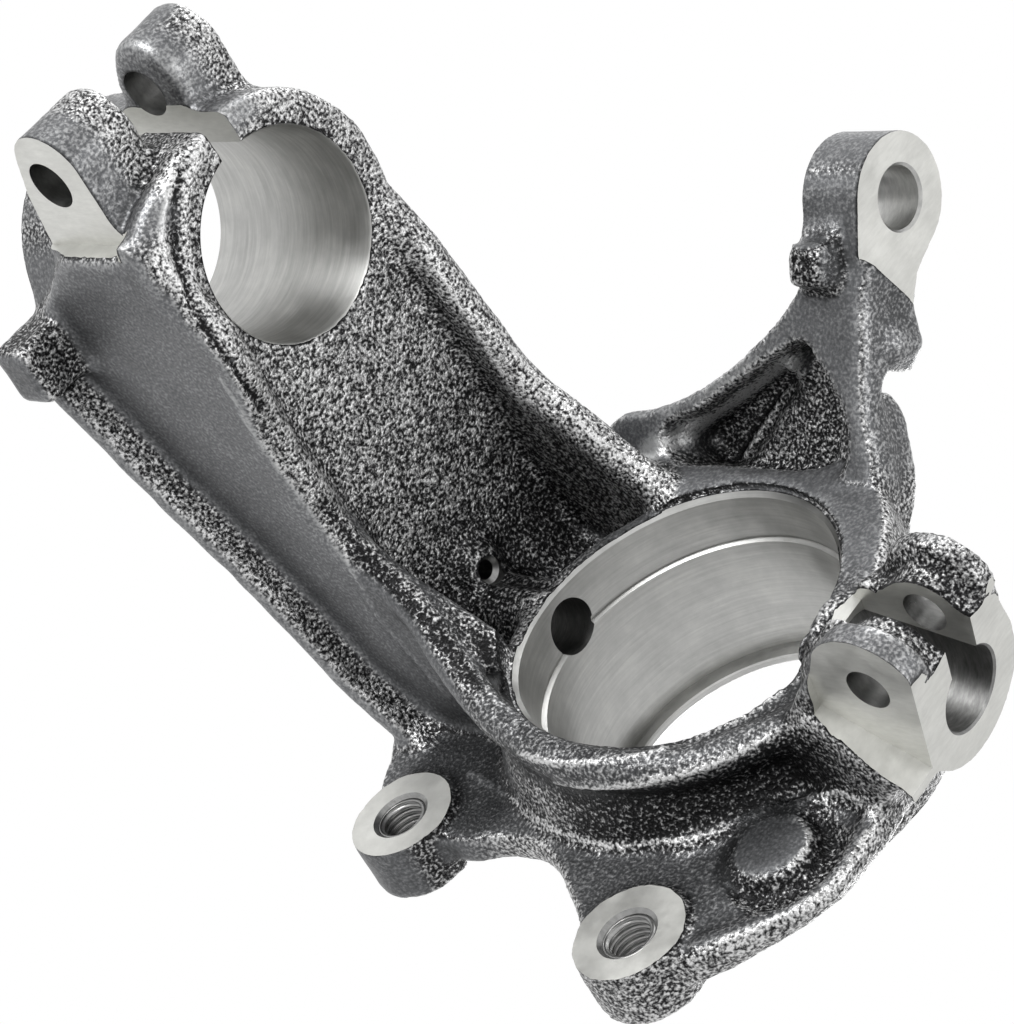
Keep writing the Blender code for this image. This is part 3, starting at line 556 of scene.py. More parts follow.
def slitCutters():
    m = machined
    sy = m["strutAt"][1]
    low = m["clampFoot"] - reach["farPast"]
    high = m["clampTop"] + reach["farPast"]
    half = m["ballSlit"] / 2
    slot = [(0, -10), (60, -10), (60, 36), (14, 36), (11.5, 29), (0, 28)]
    return [
        block("cutSlit", (m["slit"][0], sy - m["slitEnd"], low), (m["slit"][1], sy, high)),
        ballPrism("cutBallSlit", slot, half, 2 * half),
    ]


def drills():
    m = machined
    side = reach["bolt"]
    screw = [(m["screwSink"], -2), (m["screwSink"], 0.4), (m["screwR"], 1.6), (m["screwR"], 16)]
    boss = [(m["bossSink"], -reach["past"]), (m["bossSink"], -0.6)]
    boss += [(m["bossBore"], 0.9), (m["bossBore"], 2 * reach["past"])]
    things = [
        rod("cutEarBolt", (-side, *m["earBolt"]), alongX, 2 * side, m["earBoltR"], 64),
        rod("cutBallBolt", ballBoltAt - np.array([side, 0, 0]), alongX, 2 * side, m["ballBoltR"], 64),
        lathe("cutScrew", screw, (*m["screwAt"], m["clampFoot"] - 5), alongZ, 48),
    ]
    for k, (x, z) in enumerate(m["bosses"]):
        things.append(lathe(f"cutBossBore{k}", boss, (x, m["bossFace"], z), alongY, 72))
    return things


def cutters():
    # What the machine takes away, in turn, with the finish it leaves. Cutters in one group don't touch
    m = machined
    deep = reach["farPast"]
    mouth = (0, m["hubNear"] - deep, 0)
    high = m["ballBolt"][1] + m["ballEarR"]
    ballFace = [(60, -20), (60, high + 6), (12.5, high + 1), m["ballFaceEdge"][1], m["ballFaceEdge"][0]]
    ballUnder = [(-40, -25), (48, -25), (48, 0), (-40, 0)]
    return [
        ("cast", [rod("cutMouth", mouth, alongY, deep - 0.4, m["hubMouth"] + 1.1, 192)]),
        ("hub", [lathe("cutHub", hubProfile(), (0, 0, 0), alongY, 192)]),
        ("strut", [lathe("cutStrut", strutProfile(), (*m["strutAt"], m["clampFoot"]), alongZ, 144)]),
        ("turned", [lathe("cutEye", eyeProfile(), (*m["eyeAt"], m["eyeFoot"]), alongZ, 72)]),
        ("ball", [lathe("cutBall", ballProfile(), ballFoot, ballUp, 96)]),
        ("milled", faceCutters()),
        ("milled", [ballPrism("cutBallFace", ballFace, -m["ballR"], deep)]),
        ("milled", [ballPrism("cutBallFoot", ballUnder, 40, 80)]),
        ("milled", slitCutters()),
        ("ball", [rod("cutSensor", (*m["sensorAt"], 0), alongZ, reach["sensor"], m["sensorR"], 64)]),
        ("drilled", drills()),
    ]


def waves(co, size, seed, octaves):
    # Sum of sines along random directions, each with wavelength near size in mm, scaled to about -1 to 1
    rng = np.random.default_rng(seed)
    total = np.zeros(len(co))
    for k in range(octaves):
        way = rng.normal(size=3)
        way = way / np.linalg.norm(way) * (2 * math.pi / (size * mm * rng.uniform(0.7, 1.4)))
        total += np.sin(co @ way + rng.uniform(0, 2 * math.pi))
    return total / math.sqrt(octaves)


def neighbours(mesh):
    # The two ends of every edge, and how many edges meet at each point
    pairs = np.empty(len(mesh.edges) * 2, int)
    mesh.edges.foreach_get("vertices", pairs)
    a, b = pairs.reshape(-1, 2).T
    count = len(mesh.vertices)
    return a, b, np.bincount(a, minlength=count) + np.bincount(b, minlength=count)


def neighbourMean(co, a, b, meeting):
    sums = [np.bincount(a, co[b, k], len(co)) + np.bincount(b, co[a, k], len(co)) for k in range(3)]
    return np.stack(sums, -1) / meeting[:, None]


def relax(mesh, steps):
    # Taubin's smoothing: each step moves a point 0.5 towards its neighbours' mean, then 0.52 back out,
    # which takes the facets off and keeps the size
    around = neighbours(mesh)
    co = readPoints(mesh)
    for step in range(2 * steps):
        co += (0.5 if step % 2 == 0 else -0.52) * (neighbourMean(co, *around) - co)
    mesh.vertices.foreach_set("co", co.ravel())
    mesh.update()


def softened(mesh, co, steps):
    # Each step takes every point to its neighbours' mean
    around = neighbours(mesh)
    for step in range(steps):
        co = neighbourMean(co, *around)
    return co


def between(value, faded, full):
    # Smooth step: 0 at faded, 1 at full, which may lie below or above it
    t = np.clip((value - faded) / (full - faded), 0, 1)
    return t * t * (3 - 2 * t)


# The photograph's camera, from the fit of the bores to it, in metres. Its lens is 3000 pixels
viewing = {
    "place": (-0.33691, -0.42042, -0.48335),
    "right": (0.5700, 0.4513, -0.6866),
    "down": (-0.6765, 0.7321, -0.0804),
    "forward": (0.4664, 0.5103, 0.7226),
    "sensor": 36,
    "lens": 105.47,
    "frame": (1014, 1024),  # pixels
}
# The nearest three directions that are square to one another
u, _, w = np.linalg.svd(np.array([viewing["right"], viewing["down"], viewing["forward"]]))
right, down, forward = u @ w

# Lines of the mould on the casting: the pixels of the photograph that each one runs through, its half width
# and height in mm (a groove's is below 0), and how much lighter the colour is painted there, a painted
# highlight (below 0 darker, a painted shade)
mouldLines = {
    "railOuter": {
        "pixels": ((220, 378), (238, 406), (254, 434), (274, 462), (304, 503), (334, 544), (352, 570),
                   (381, 620), (413, 657), (447, 695)),
        "wide": 1.4, "high": 0.35, "paintedLight": 0.26,
    },
    "tubeRim": {
        "pixels": ((200, 150), (187, 192), (184, 222), (189, 262), (198, 290), (212, 318), (230, 347),
                   (250, 374), (270, 402), (294, 438)),
        "wide": 1.8, "high": 0.5, "paintedLight": 0.18,
    },
    "strutOuter": {
        "pixels": ((175, 173), (165, 204), (162, 234), (168, 262), (180, 290)),
        "wide": 1.5, "high": 0.6, "paintedLight": 0.34,
    },
    "floorEdge": {
        "pixels": ((310, 460), (326, 484), (340, 502), (362, 530), (380, 550)),
        "wide": 1.4, "high": 0.2, "paintedLight": 0.18,
    },
    "strutGroove": {
        "pixels": ((180, 173), (176, 196), (175, 225), (178, 262), (190, 296), (204, 326), (216, 344),
                   (234, 368), (248, 388), (262, 408)),
        "wide": 1.4, "high": -0.7, "paintedLight": -0.45,
    },
    "railInner": {
        "pixels": ((324, 504), (350, 538), (380, 571), (413, 607), (447, 647), (478, 684)),
        "wide": 2.6, "high": -0.4, "paintedLight": -0.34,
    },
    "hubBeadInner": {
        "pixels": ((520, 753), (550, 762), (580, 763), (627, 758), (659, 751), (690, 743), (720, 728),
                   (753, 713), (780, 692)),
        "wide": 1.3, "high": 0.7, "paintedLight": 0.34,
    },
    "hubBeadOuter": {
        "pixels": ((555, 780), (576, 785), (607, 787), (636, 785), (660, 779), (703, 768), (737, 753),
                   (770, 737), (805, 721)),
        "wide": 1.4, "high": 0.8, "paintedLight": 0.46,
    },
    "plateEdge": {
        "pixels": ((470, 773), (503, 793), (543, 823), (570, 835), (607, 846), (653, 843), (687, 840),
                   (720, 830), (753, 817), (784, 805), (819, 796), (842, 793), (858, 800)),
        "wide": 1.3, "high": 0.5, "paintedLight": 0.42,
    },
    "plateFoot": {
        "pixels": ((858, 800), (874, 822), (860, 853), (823, 894), (770, 920), (720, 940)),
        "wide": 1.3, "high": 0.4, "paintedLight": 0.28,
    },
    "rearInner": {
        "pixels": ((420, 245), (450, 290), (477, 333), (500, 370), (517, 397), (534, 423), (553, 447)),
        "wide": 1.3, "high": 0.35, "paintedLight": 0.30,
    },
    "rearOuter": {
        "pixels": ((487, 330), (513, 350), (533, 373), (560, 402), (590, 432), (620, 455), (655, 473)),
        "wide": 1.3, "high": 0.3, "paintedLight": 0.34,
    },
    # Painted highlight on the pad's rim, with no relief
    "padEdge": {
        "pixels": ((795, 817), (808, 828), (807, 847), (791, 866)),
        "wide": 1.5, "high": 0.0, "paintedLight": 0.40,
    },
    # Painted highlight, a broad band with no relief
    "pocketBand": {
        "pixels": ((650, 452), (680, 436), (710, 418), (730, 405), (750, 390), (770, 375), (789, 363)),
        "wide": 5.5, "high": 0.0, "paintedLight": 0.62,
    },
    "pocketGroove": {
        "pixels": ((732, 462), (745, 445), (756, 430), (768, 412), (781, 395), (798, 377)),
        "wide": 1.7, "high": -0.5, "paintedLight": -0.30,
    },
    # Painted shade, a dark line with no relief
    "rimFront": {
        "pixels": ((484, 640), (489, 655), (500, 680), (510, 700)),
        "wide": 3.0, "high": 0.0, "paintedLight": -0.30,
    },
    "pocketRidge": {
        "pixels": ((804, 371), (790, 390), (775, 412), (760, 435), (747, 457)),
        "wide": 1.5, "high": 1.2, "paintedLight": 0.50,
    },
}


def onCasting(surface, pixel):
    # Where the camera's ray through a pixel of the photograph first meets the CAD body, in mm
    wide, high = viewing["frame"]
    way = viewing["lens"] / viewing["sensor"] * high * forward
    way = way + (pixel[0] - wide / 2) * right + (pixel[1] - high / 2) * down
    place = surface.ray_cast(Vector(viewing["place"]), Vector(way).normalized())[0]
    return np.array(place) / mm


def layMouldLines():
    shape = bmesh.new()
    shape.from_mesh(cadNode.data)
    surface = BVHTree.FromBMesh(shape)
    shape.free()
    for line in mouldLines.values():
        line["path"] = [onCasting(surface, pixel) for pixel in line["pixels"]]


def alongLine(path, steps=8):
    # Catmull-Rom through the points a, b, c, d: b + t(c-a)/2 + t^2(a-5b/2+2c-d/2) + t^3(3(b-c)+d-a)/2
    path = np.asarray(path, float)
    full = np.vstack([2 * path[0] - path[1], path, 2 * path[-1] - path[-2]])
    a, b, c, d = (full[k : k + len(path) - 1, None] for k in range(4))
    t = (np.arange(steps) / steps)[None, :, None]
    line = b + t * (c - a) / 2 + t**2 * (a - 2.5 * b + 2 * c - d / 2) + t**3 * (3 * (b - c) + d - a) / 2
    return np.vstack([line.reshape(-1, 3), path[-1:]])


def nearLine(co, line):
    # 1 within a fifth of the line's half width, falling smoothly to 0 at its half width
    path = alongLine(line["path"])
    wide = line["wide"]
    close = np.all((co > path.min(axis=0) - wide) & (co < path.max(axis=0) + wide), axis=1)
    gap = np.full(len(co), np.inf)
    gap[close] = np.linalg.norm(co[close, None] - path[None], axis=2).min(axis=1)
    return between(gap, wide, 0.2 * wide)


# Places that the regions of the skin are measured from, in mm
skinMarks = {
    "armOut": np.array([-0.7834, -0.6215, 0.0]),  # the way the steering arm's front face looks
    "armPlane": -20.66,  # that face's distance from the origin
    "pad": (-45.4, -51.4),  # x, z
    "steerLug": (74.5, -71, -18),
    "strutLug": (-40, -126, 122),
}

# Regions of the skin: how much lighter its colour is painted (below 0 darker), how smooth the skin is
# (1 is as the die left it), and limits. A limit is a measure, where the region has faded out and where it is
# full, or a measure, a middle and those two distances from it
skinRegions = {
    # Painted shade in the valley between the hub and the plate
    "valley": (-0.30, 0, (("fromHub", 58, 13, 6), ("z", 12, -4), ("x", 0, -12), ("y", -11, 9, 5))),
    # Painted shadow of the hub on the end of the channel's floor
    "channelEnd": (-0.20, 0, (("y", -52, -26), ("x", 8, 30, 20), ("z", 44, 52))),
    "pocket": (-0.10, 0, (("x", 60, 14, 8), ("z", 6, 34, 20), ("pastArm", -2.5, -5.5))),
    # Painted light: lighter on the channel's open floor where it faces -Z
    "openFloor": (0.06, 0, (("y", -60, -100), ("z", 66, 70), ("faceZ", -0.8, -0.95))),
    # Painted shade in the recess round the pad
    "padRing": (-0.24, 0, (("fromPad", 11.5, 3.5, 1.5), ("y", -2, 6, 4))),
    "padTop": (0, 1, (("fromPad", 9.5, 8), ("faceY", -0.8, -0.95))),
    "plate": (-0.12, 0, (("faceY", -0.8, -0.95), ("y", -3, 4, 2.5))),
    "plateFace": (0, 0.75, (("faceY", -0.9, -0.98), ("y", -3, 4, 2.5))),
    "railFoot": (-0.16, 0, (("x", -16, -22), ("y", -66, -44), ("z", 26, 34), ("z", 72, 66))),
    "railSide": (0, 0.7, (("faceX", 0.3, 0.6), ("x", -16, -19), ("y", -76, -60), ("z", 25, 35))),
    "steerLug": (-0.256, 0, (("fromSteerLug", 9, 6),)),
    "strutLug": (-0.16, 0, (("fromStrutLug", 15, 10),)),
    "flank": (-0.06, 0.7, (("faceZ", -0.5, -0.8), ("x", 46, 54), ("y", -14, -22))),
    "farEar": (-0.12, 0, (("x", 2, 5), ("x", 24, 20), ("z", -58, -64), ("y", -32, -37))),
    "sideWall": (0, 1, (("faceX", -0.55, -0.8), ("x", -17, -22), ("z", 20, 40))),
    "armFace": (0, 1, (("faceArm", 0.85, 0.97), ("pastArm", 0, 3.5, 1), ("x", 28, 36))),
    "rimFace": (0, 1, (("faceY", -0.85, -0.97), ("y", -18, -22), ("x", 5, 25))),
    "rearWall": (0, 1, (("faceX", 0.8, 0.95), ("x", 36, 40), ("z", 22, 36), ("y", -16, -26))),
    "earCrown": (0, 0.85, (("x", -10, -15), ("y", -150, -156))),
    "rearEar": (0, 0.9, (("x", 10, 12), ("x", 25, 18), ("y", -154, -160))),
    "ballCrown": (0, 0.8, (("x", -11, -16), ("z", -46, -52), ("y", -26, -32))),
    "eyeSide": (0, 0.9, (("x", 93, 98), ("z", -18, 10, 8))),
    # The near side of the hub's front rim, without its beads
    "hubRim": (
        -0.20,
        0.5,
        (("fromHub", 41, 43), ("fromHub", 56, 53), ("y", -13, -16), ("z", 34, 24), ("x", 24, 8)),
    ),
}

# How light the skin is painted, from 0 to 1, and what its relief adds: ridges painted lighter, a painted
# highlight, and hollows darker, a painted shade
skinTone = {
    "plain": 0.48,
    "ridgeSteps": 5,  # of softening, to find the small ridges
    "ridge": (0.4, 0.08),  # mm at which it is full, and what it adds
    # Painted highlight on the tops of sharp ridges
    "ridgeHighlight": (0.36, 0.7, 0.16),  # mm from which and to which, and what it adds
    "formSteps": 45,
    "form": (3, 0.05),
}


def measured(co, no):
    # What tells the skin's regions apart: places and distances in mm, and the way each point faces
    p = co / mm
    x, y, z = p.T
    marks = skinMarks
    return {
        "place": p,
        "x": x,
        "y": y,
        "z": z,
        "fromHub": np.hypot(x, z),
        "fromPad": np.hypot(x - marks["pad"][0], z - marks["pad"][1]),
        "fromSteerLug": np.linalg.norm(p - marks["steerLug"], axis=1),
        "fromStrutLug": np.linalg.norm(p - marks["strutLug"], axis=1),
        "pastArm": p @ marks["armOut"] - marks["armPlane"],
        "faceX": no[:, 0],
        "faceY": no[:, 1],
        "faceZ": no[:, 2],
        "faceArm": no @ marks["armOut"],
    }


def inRegion(skin, name):
    # The product of a smooth step for each of the region's limits
    inside = 1.0
    for what, *middle, faded, full in skinRegions[name][2]:
        value = np.abs(skin[what] - middle[0]) if middle else skin[what]
        inside = inside * between(value, faded, full)
    if name == "hubRim":
        for bead in ("hubBeadInner", "hubBeadOuter"):
            inside = inside * (1 - nearLine(skin["place"], mouldLines[bead]))
    return inside


def toneOf(mesh, co, no):
    # Painted light and shade from the relief: ridges painted lighter as a highlight, hollows darker as
    # shade; the regions and mould lines add theirs
    v = skinTone
    ridge = np.einsum("ij,ij->i", co - softened(mesh, co, v["ridgeSteps"]), no) / mm
    form = np.einsum("ij,ij->i", co - softened(mesh, co, v["formSteps"]), no) / mm
    small, smallAdds = v["ridge"]
    large, largeAdds = v["form"]
    faded, full, highlightAdds = v["ridgeHighlight"]
    tone = v["plain"] + smallAdds * np.clip(ridge / small, -1, 1) + highlightAdds * between(ridge, faded, full)
    tone += largeAdds * np.clip(form / large, -1, 1)
    skin = measured(co, no)
    for name, region in skinRegions.items():
        tone += region[0] * inRegion(skin, name)
    for line in mouldLines.values():
        tone += line["paintedLight"] * nearLine(skin["place"], line)
    return np.clip(tone, 0, 1)


def roughMask(co, no):
    # 1 where the skin is coarse, down to almost 0 on the flat outer faces that the die left smooth
    skin = measured(co, no)
    parts = [region[1] * inRegion(skin, name) for name, region in skinRegions.items()]
    return 1 - castBody["smoothest"] * np.maximum.reduce(parts)


def castSkin():
    print("knuckle: merging a copy of the CAD body with its stock")
    copyMesh = cadNode.data.copy()
    shape = bmesh.new()
    shape.from_mesh(copyMesh)
    bmesh.ops.remove_doubles(shape, verts=shape.verts, dist=castBody["weld"] * mm)
    shape.to_mesh(copyMesh)
    shape.free()
    copyMesh.materials.clear()
    body = bpy.data.objects.new("castCopy", copyMesh)
    bpy.context.scene.collection.objects.link(body)
    blank = joined("knuckleSkin", [body] + allStock())
    print("knuckle: one skin over all, relaxed")
    remesh = blank.modifiers.new("skin", "REMESH")
    remesh.mode = "VOXEL"
    remesh.voxel_size = castBody["voxel"] * mm
    baked(blank)
    print("knuckle: skin of", len(blank.data.polygons), "faces")
    relax(blank.data, castBody["relaxSteps"])
    co = readPoints(blank.data)
    no = readNormals(blank.data)
    tone = blank.data.attributes.new("tone", "FLOAT", "POINT")
    tone.data.foreach_set("value", toneOf(blank.data, co, no).astype(np.float32))
    rng = np.random.default_rng(castBody["pebbleSeed"])
    v = castBody
    push = waves(co, v["swellSize"], v["swellSeed"], v["swellWaves"]) * v["swell"]
    for line in mouldLines.values():
        push += line["high"] * nearLine(co / mm, line)
    push += rng.normal(size=len(co)) * v["pebble"] * roughMask(co, no)
    co += no * (push * mm)[:, None]
    blank.data.vertices.foreach_set("co", co.ravel())
    blank.data.update()
    return blank


def machine(body, metals):
    print("knuckle: cutting the bores, faces and slits")
    for finish, things in cutters():
        cutOnce(body, joined("cutter", things, metals[finish]))


def cutOnce(body, tool):
    boolean = body.modifiers.new("cut", "BOOLEAN")
    boolean.operation = "DIFFERENCE"
    boolean.solver = "EXACT"
    boolean.material_mode = "TRANSFER"
    boolean.object = tool
    baked(body)
    bpy.data.objects.remove(tool, do_unlink=True)


def finishMesh(body):
    # Drops crumbs that a cut left loose, marks the crisp edges and stores how coarse the skin is
    shape = bmesh.new()
    shape.from_mesh(body.data)
    bmesh.ops.remove_doubles(shape, verts=shape.verts, dist=castBody["weldCuts"] * mm)
    bmesh.ops.dissolve_degenerate(shape, edges=shape.edges, dist=castBody["sliver"] * mm)
    seen = set()
    islands = []
    for vert in shape.verts:
        if vert in seen:
            continue
        island = [vert]
        seen.add(vert)
        for member in island:
            for edge in member.link_edges:
                other = edge.other_vert(member)
                if other not in seen:
                    seen.add(other)
                    island.append(other)
        islands.append(island)
    islands.sort(key=len)
    for island in islands[:-1]:
        bmesh.ops.delete(shape, geom=island, context="VERTS")
    limit = math.radians(castBody["sharpAngle"])
    for edge in shape.edges:
        if len(edge.link_faces) != 2:
            continue
        one, two = edge.link_faces
        machinedEdge = one.material_index > 0 or two.material_index > 0
        mixed = one.material_index != two.material_index
        edge.smooth = not (mixed or (machinedEdge and edge.calc_face_angle(0) > limit))
    for face in shape.faces:
        face.smooth = True
    shape.to_mesh(body.data)
    shape.free()
    co = readPoints(body.data)
    no = readNormals(body.data)
    store = body.data.attributes.new("coarse", "FLOAT", "POINT")
    store.data.foreach_set("value", roughMask(co, no).astype(np.float32))
    print("knuckle:", len(body.data.polygons), "faces,", len(islands), "islands")


# Threads of the two caliper bosses, 12 mm coarse thread, in mm
thread = {
    "pitch": 1.75,
    "crest": 5.2,
    "root": 6.15,
    "wall": 6.6,
    "start": 1.0,
    "turns": 7.5,
    "flats": 1.5,  # how far the wave is stretched before it is clipped to flat crests and roots
    "around": 72,
    "perTurn": 10,
}


def threadSleeve(name, x, z, metal):
    # Helix: r = middle + depth * wave(h / pitch - t / turn), where wave is a clipped triangle
    v = thread
    count = int(v["turns"] * v["perTurn"])
    depth = (v["root"] - v["crest"]) / 2
    middle = (v["root"] + v["crest"]) / 2
    heights = v["start"] + np.linspace(0, v["turns"] * v["pitch"], count + 1)
    inner = [(middle, h) for h in heights]
    outer = [(v["wall"], heights[-1]), (v["wall"], heights[0])]
    onThread = np.array([1.0] * len(inner) + [0.0] * len(outer))

    def ripple(angle, height):
        turn = height / v["pitch"] - angle / (2 * math.pi)
        wave = np.clip((2 * np.abs(2 * (turn - np.floor(turn)) - 1) - 1) * v["flats"], -1, 1)
        return depth * wave * onThread

    foot = (x, machined["bossFace"], z)
    sleeve = ringSurface(name, inner + outer, foot, alongY, v["around"], ripple)
    sleeve.data.shade_smooth()
    sleeve.data.materials.append(metal)
    return sleeve


def addNode(tree, kind, settings=None, links=None):
    # Adds a node, sets its properties or sockets by name, and links (socket, other node, its output)
    node = tree.nodes.new(kind)
    for key, value in (settings or {}).items():
        if isinstance(key, str) and hasattr(node, key):
            setattr(node, key, value)
        else:
            node.inputs[key].default_value = value
    for socket, (other, output) in (links or {}).items():
        tree.links.new(other.outputs[output], node.inputs[socket])
    return node


def newMaterial(name):
    material = bpy.data.materials.new(name)
    material.use_nodes = True
    tree = material.node_tree
    shader = tree.nodes["Principled BSDF"]
    place = addNode(tree, "ShaderNodeTexCoord")
    scaled = addNode(
        tree,
        "ShaderNodeVectorMath",
        {"operation": "MULTIPLY", 1: (1 / mm,) * 3},
        {0: (place, "Object")},
    )
    return material, tree, shader, scaled


def ramp(tree, source, output, stops):
    node = addNode(tree, "ShaderNodeValToRGB", None, {"Fac": (source, output)})
    elements = node.color_ramp.elements
    while len(elements) < len(stops):
        elements.new(0.5)
    for element, (position, colour) in zip(elements, stops):
        element.position = position
        element.color = linear(colour)
    return node


castIron = {
    "grain": 0.85,  # mm between lumps: a shot-blasted sand casting has 0.5 to 1.5 mm
    "patchesPerMm": 0.09,
    "toneShift": 0.21,  # what the tone moves the colour by, to each side
    "patchShift": 0.02,
    # The coarse ramp's near-white stop is a painted glint, its near-black stop painted shade in the pits
    "coarse": ((0.34, "#0c0c0d"), (0.43, "#363637"), (0.53, "#888888"), (0.67, "#d8d8d8")),
    "smooth": ((0.32, "#343536"), (0.5, "#6c6d6f"), (0.7, "#b4b5b5")),
    "smoothContrast": 0.24,  # of the lumps where the skin is smooth
    "smoothMiddle": 0.37,
    "smoothRelief": 0.12,
    "relief": 0.0006,  # metres
    "reliefStrength": 0.8,
    "roughness": 0.42,
    "metallic": 0.75,
}


def castIronMaterial():
    # Shot-blasted grey iron: lumps of grain whose tops are painted near white, a painted glint, and whose
    # pits are painted black, a painted shade; the tone's painted light and shade shifts them
    v = castIron
    material, tree, shader, scaled = newMaterial("shotBlastedIron")
    coarse = addNode(tree, "ShaderNodeAttribute", {"attribute_name": "coarse"})
    tone = addNode(tree, "ShaderNodeAttribute", {"attribute_name": "tone"})
    lumps = addNode(
        tree,
        "ShaderNodeTexNoise",
        {"Scale": 1 / v["grain"], "Detail": 1.5, "Roughness": 0.55},
        {"Vector": (scaled, 0)},
    )
    patches = addNode(
        tree,
        "ShaderNodeTexNoise",
        {"Scale": v["patchesPerMm"], "Detail": 3.0, "Roughness": 0.6},
        {"Vector": (scaled, 0)},
    )
    # The tone's painted light and shade, as a shift of the colour
    paintedShift = addNode(
        tree,
        "ShaderNodeMapRange",
        {"From Min": 0.0, "From Max": 1.0, "To Min": -v["toneShift"], "To Max": v["toneShift"]},
        {"Value": (tone, "Fac")},
    )
    drift = addNode(
        tree,
        "ShaderNodeMapRange",
        {"From Min": 0.3, "From Max": 0.7, "To Min": -v["patchShift"], "To Max": v["patchShift"]},
        {"Value": (patches, "Fac")},
    )
    shift = addNode(tree, "ShaderNodeMath", {"operation": "ADD"}, {0: (paintedShift, 0), 1: (drift, 0)})
    level = addNode(tree, "ShaderNodeMath", {"operation": "ADD"}, {0: (shift, 0), 1: (lumps, "Fac")})
    coarseColour = ramp(tree, level, 0, v["coarse"])
    gentle = addNode(
        tree,
        "ShaderNodeMath",
        {"operation": "MULTIPLY_ADD", 1: v["smoothContrast"], 2: v["smoothMiddle"]},
        {0: (lumps, "Fac")},
    )
    soft = addNode(tree, "ShaderNodeMath", {"operation": "ADD"}, {0: (shift, 0), 1: (gentle, 0)})
    smoothColour = ramp(tree, soft, 0, v["smooth"])
    colour = addNode(
        tree,
        "ShaderNodeMix",
        {"data_type": "RGBA"},
        {0: (coarse, "Fac"), 6: (smoothColour, "Color"), 7: (coarseColour, "Color")},
    )
    tree.links.new(colour.outputs[2], shader.inputs["Base Color"])
    depth = addNode(
        tree,
        "ShaderNodeMapRange",
        {"From Min": 0.0, "From Max": 1.0, "To Min": v["smoothRelief"], "To Max": 1.0},
        {"Value": (coarse, "Fac")},
    )
    height = addNode(
        tree,
        "ShaderNodeMath",
        {"operation": "MULTIPLY"},
        {0: (lumps, "Fac"), 1: (depth, "Result")},
    )
    bump = addNode(
        tree,
        "ShaderNodeBump",
        {"Strength": v["reliefStrength"], "Distance": v["relief"]},
        {"Height": (height, 0)},
    )
    tree.links.new(bump.outputs[0], shader.inputs["Normal"])
    shader.inputs["Metallic"].default_value = v["metallic"]
    shader.inputs["Roughness"].default_value = v["roughness"]
    return material


# Colours of cut iron, from its darkest marks to its lightest
boredGrey = ("#a0a09e", "#b7b7b5", "#cfcfcc")
# A darker copy of the bored grey: painted shade inside the ball joint clamp's bore and the sensor's hole
shadedBoreGrey = ("#6a6a69", "#848483", "#a0a09e")
drilledGrey = ("#7a7a79", "#959594", "#b0b0ae")
milledGrey = ("#c2c2be", "#d0d0cc", "#dededa")

# Material, colours, tool marks for each mm along x, y and z, roughness, and how much of the colour is marks
finishes = {
    "hub": ("turnedIronHub", boredGrey, (0.05, 1.2, 0.05), 0.38, 0.35),
    "strut": ("boredIronStrut", boredGrey, (0.06, 0.06, 0.9), 0.42, 0.45),
    "turned": ("boredIron", boredGrey, (0.3, 0.3, 1.2), 0.36, 0.6),
    # Painted shade: a darker copy of the bored iron
    "ball": ("shadedBoreIron", shadedBoreGrey, (0.3, 0.3, 1.2), 0.5, 0.6),
    "milled": ("milledIron", milledGrey, (0.25, 0.9, 0.25), 0.42, 0.4),
    "drilled": ("drilledIron", drilledGrey, (0.8, 0.4, 0.4), 0.32, 0.5),
}


def cutIronMaterial(name, colours, marksPerMm, roughness, contrast):
    # Bare cut iron: fine tool marks square to the tool's feed. Real ones lie 0.1 to 0.3 mm apart, and these
    # are drawn about 1 mm apart so that they show
    material, tree, shader, scaled = newMaterial(name)
    lines = addNode(tree, "ShaderNodeVectorMath", {"operation": "MULTIPLY", 1: marksPerMm}, {0: (scaled, 0)})
    marks = addNode(
        tree,
        "ShaderNodeTexNoise",
        {"Scale": 1.0, "Detail": 3.0, "Roughness": 0.65},
        {"Vector": (lines, 0)},
    )
    cloud = addNode(
        tree,
        "ShaderNodeTexNoise",
        {"Scale": castIron["patchesPerMm"], "Detail": 4.0, "Roughness": 0.6},
        {"Vector": (scaled, 0)},
    )
    shares = {"data_type": "FLOAT", 0: contrast}
    both = addNode(tree, "ShaderNodeMix", shares, {2: (cloud, "Fac"), 3: (marks, "Fac")})
    colour = ramp(tree, both, 0, list(zip((0.3, 0.5, 0.7), colours)))
    tree.links.new(colour.outputs[0], shader.inputs["Base Color"])
    gloss = addNode(
        tree,
        "ShaderNodeMapRange",
        {"From Min": 0.3, "From Max": 0.7, "To Min": roughness * 0.85, "To Max": roughness * 1.2},
        {"Value": (cloud, "Fac")},
    )
    tree.links.new(gloss.outputs[0], shader.inputs["Roughness"])
    bump = addNode(tree, "ShaderNodeBump", {"Strength": 0.2, "Distance": 0.0001}, {"Height": (marks, "Fac")})
    tree.links.new(bump.outputs[0], shader.inputs["Normal"])
    shader.inputs["Metallic"].default_value = 1.0
    return material


print("materials: cast skin and cut faces")
metals = {"cast": castIronMaterial()}
for finish, values in finishes.items():
    metals[finish] = cutIronMaterial(*values)

print("knuckle: laying the mould lines on the CAD body")
layMouldLines()
knuckle = castSkin()
knuckle.data.materials.clear()
knuckle.data.materials.append(metals["cast"])
machine(knuckle, metals)
finishMesh(knuckle)
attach(knuckle, "root")
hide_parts("steering_knuckle")

print("threads: caliper bosses")
for label, (x, z) in zip(("Upper", "Lower"), machined["bosses"]):
    sleeve = threadSleeve("bossThread" + label, x, z, metals["drilled"])
    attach(sleeve, "root")

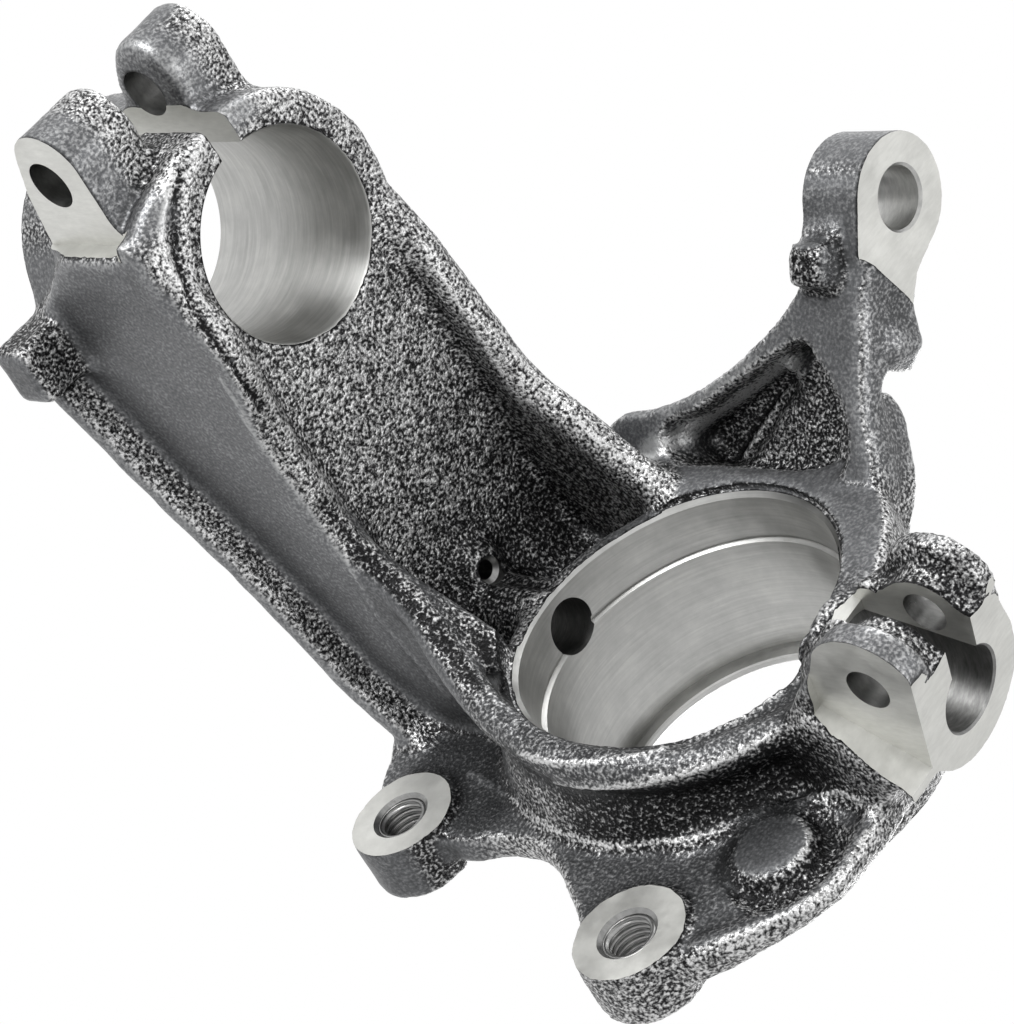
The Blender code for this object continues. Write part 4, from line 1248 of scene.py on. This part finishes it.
print("stage: floor, world, lamps and camera")
camera = bpy.data.cameras.new("camera")
camera.lens = viewing["lens"]
camera.sensor_width = viewing["sensor"]
camera.clip_start = 0.01
viewer = bpy.data.objects.new("camera", camera)
rows = [(right[k], -down[k], -forward[k], viewing["place"][k]) for k in range(3)]
viewer.matrix_world = Matrix(rows + [(0, 0, 0, 1)])
bpy.context.scene.collection.objects.link(viewer)
bpy.context.scene.camera = viewer


def seenWhite(tree):
    # 1 where the camera, a reflection or a ray through glass meets the background
    path = addNode(tree, "ShaderNodeLightPath")
    either = addNode(
        tree,
        "ShaderNodeMath",
        {"operation": "MAXIMUM"},
        {0: (path, "Is Camera Ray"), 1: (path, "Is Glossy Ray")},
    )
    return addNode(
        tree,
        "ShaderNodeMath",
        {"operation": "MAXIMUM"},
        {0: (either, 0), 1: (path, "Is Transmission Ray")},
    )


stage = {
    "floorZ": -1.3,  # metres
    "floorSize": 12.0,
    "floorColour": "#f2f2f2",
    "floorRoughness": 0.9,
    "floorGlow": 0.88,  # share of plain white where the background is seen
    "worldGrey": 0.55,
}
corners = np.array([(-1, -1, 0), (1, -1, 0), (1, 1, 0), (-1, 1, 0)]) * stage["floorSize"] / 2
floor = meshObject("floor", corners + np.array([0, 0, stage["floorZ"]]), [(0, 1, 2, 3)])
pale = bpy.data.materials.new("palePaper")
pale.use_nodes = True
tree = pale.node_tree
shader = tree.nodes["Principled BSDF"]
shader.inputs["Base Color"].default_value = linear(stage["floorColour"])
shader.inputs["Roughness"].default_value = stage["floorRoughness"]
glow = addNode(tree, "ShaderNodeEmission", {"Color": (1, 1, 1, 1), "Strength": 1.0})
amount = addNode(
    tree,
    "ShaderNodeMath",
    {"operation": "MULTIPLY", 1: stage["floorGlow"]},
    {0: (seenWhite(tree), 0)},
)
mixed = addNode(tree, "ShaderNodeMixShader", None, {0: (amount, 0), 1: (shader, 0), 2: (glow, 0)})
tree.links.new(mixed.outputs[0], tree.nodes["Material Output"].inputs["Surface"])
floor.data.materials.append(pale)

world = bpy.data.worlds.new("studio")
bpy.context.scene.world = world
world.use_nodes = True
tree = world.node_tree
background = tree.nodes["Background"]
grey = stage["worldGrey"]
background.inputs["Color"].default_value = (grey, grey, grey, 1)
white = addNode(tree, "ShaderNodeBackground", {"Color": (1, 1, 1, 1), "Strength": 1.0})
seen = seenWhite(tree)
mixed = addNode(tree, "ShaderNodeMixShader", None, {0: (seen, 0), 1: (background, 0), 2: (white, 0)})
tree.links.new(mixed.outputs[0], tree.nodes["World Output"].inputs["Surface"])
middle = Vector(np.mean(cadBox, axis=0))
lamps = {
    # name: (right, up, towards the camera), distance, size, watts
    "keyLeft": ((-0.75, 0.75, 0.6), 1.1, 0.5, 9.0),
    "fillRight": ((0.9, 0.1, 0.7), 1.2, 0.7, 5.0),
    "topSoft": ((0.2, 1.0, -0.3), 1.2, 0.6, 7.0),
    "backRim": ((0.5, -0.3, -1.0), 1.3, 0.6, 5.0),
}
for name, (way, distance, size, watts) in lamps.items():
    light = bpy.data.lights.new(name, "AREA")
    light.energy = watts
    light.size = size
    lamp = bpy.data.objects.new(name, light)
    direction = Vector(way[0] * right - way[1] * down - way[2] * forward).normalized()
    lamp.location = middle + direction * distance
    lamp.rotation_euler = direction.to_track_quat("Z", "Y").to_euler()
    bpy.context.scene.collection.objects.link(lamp)

bpy.context.scene.view_settings.view_transform = "Standard"
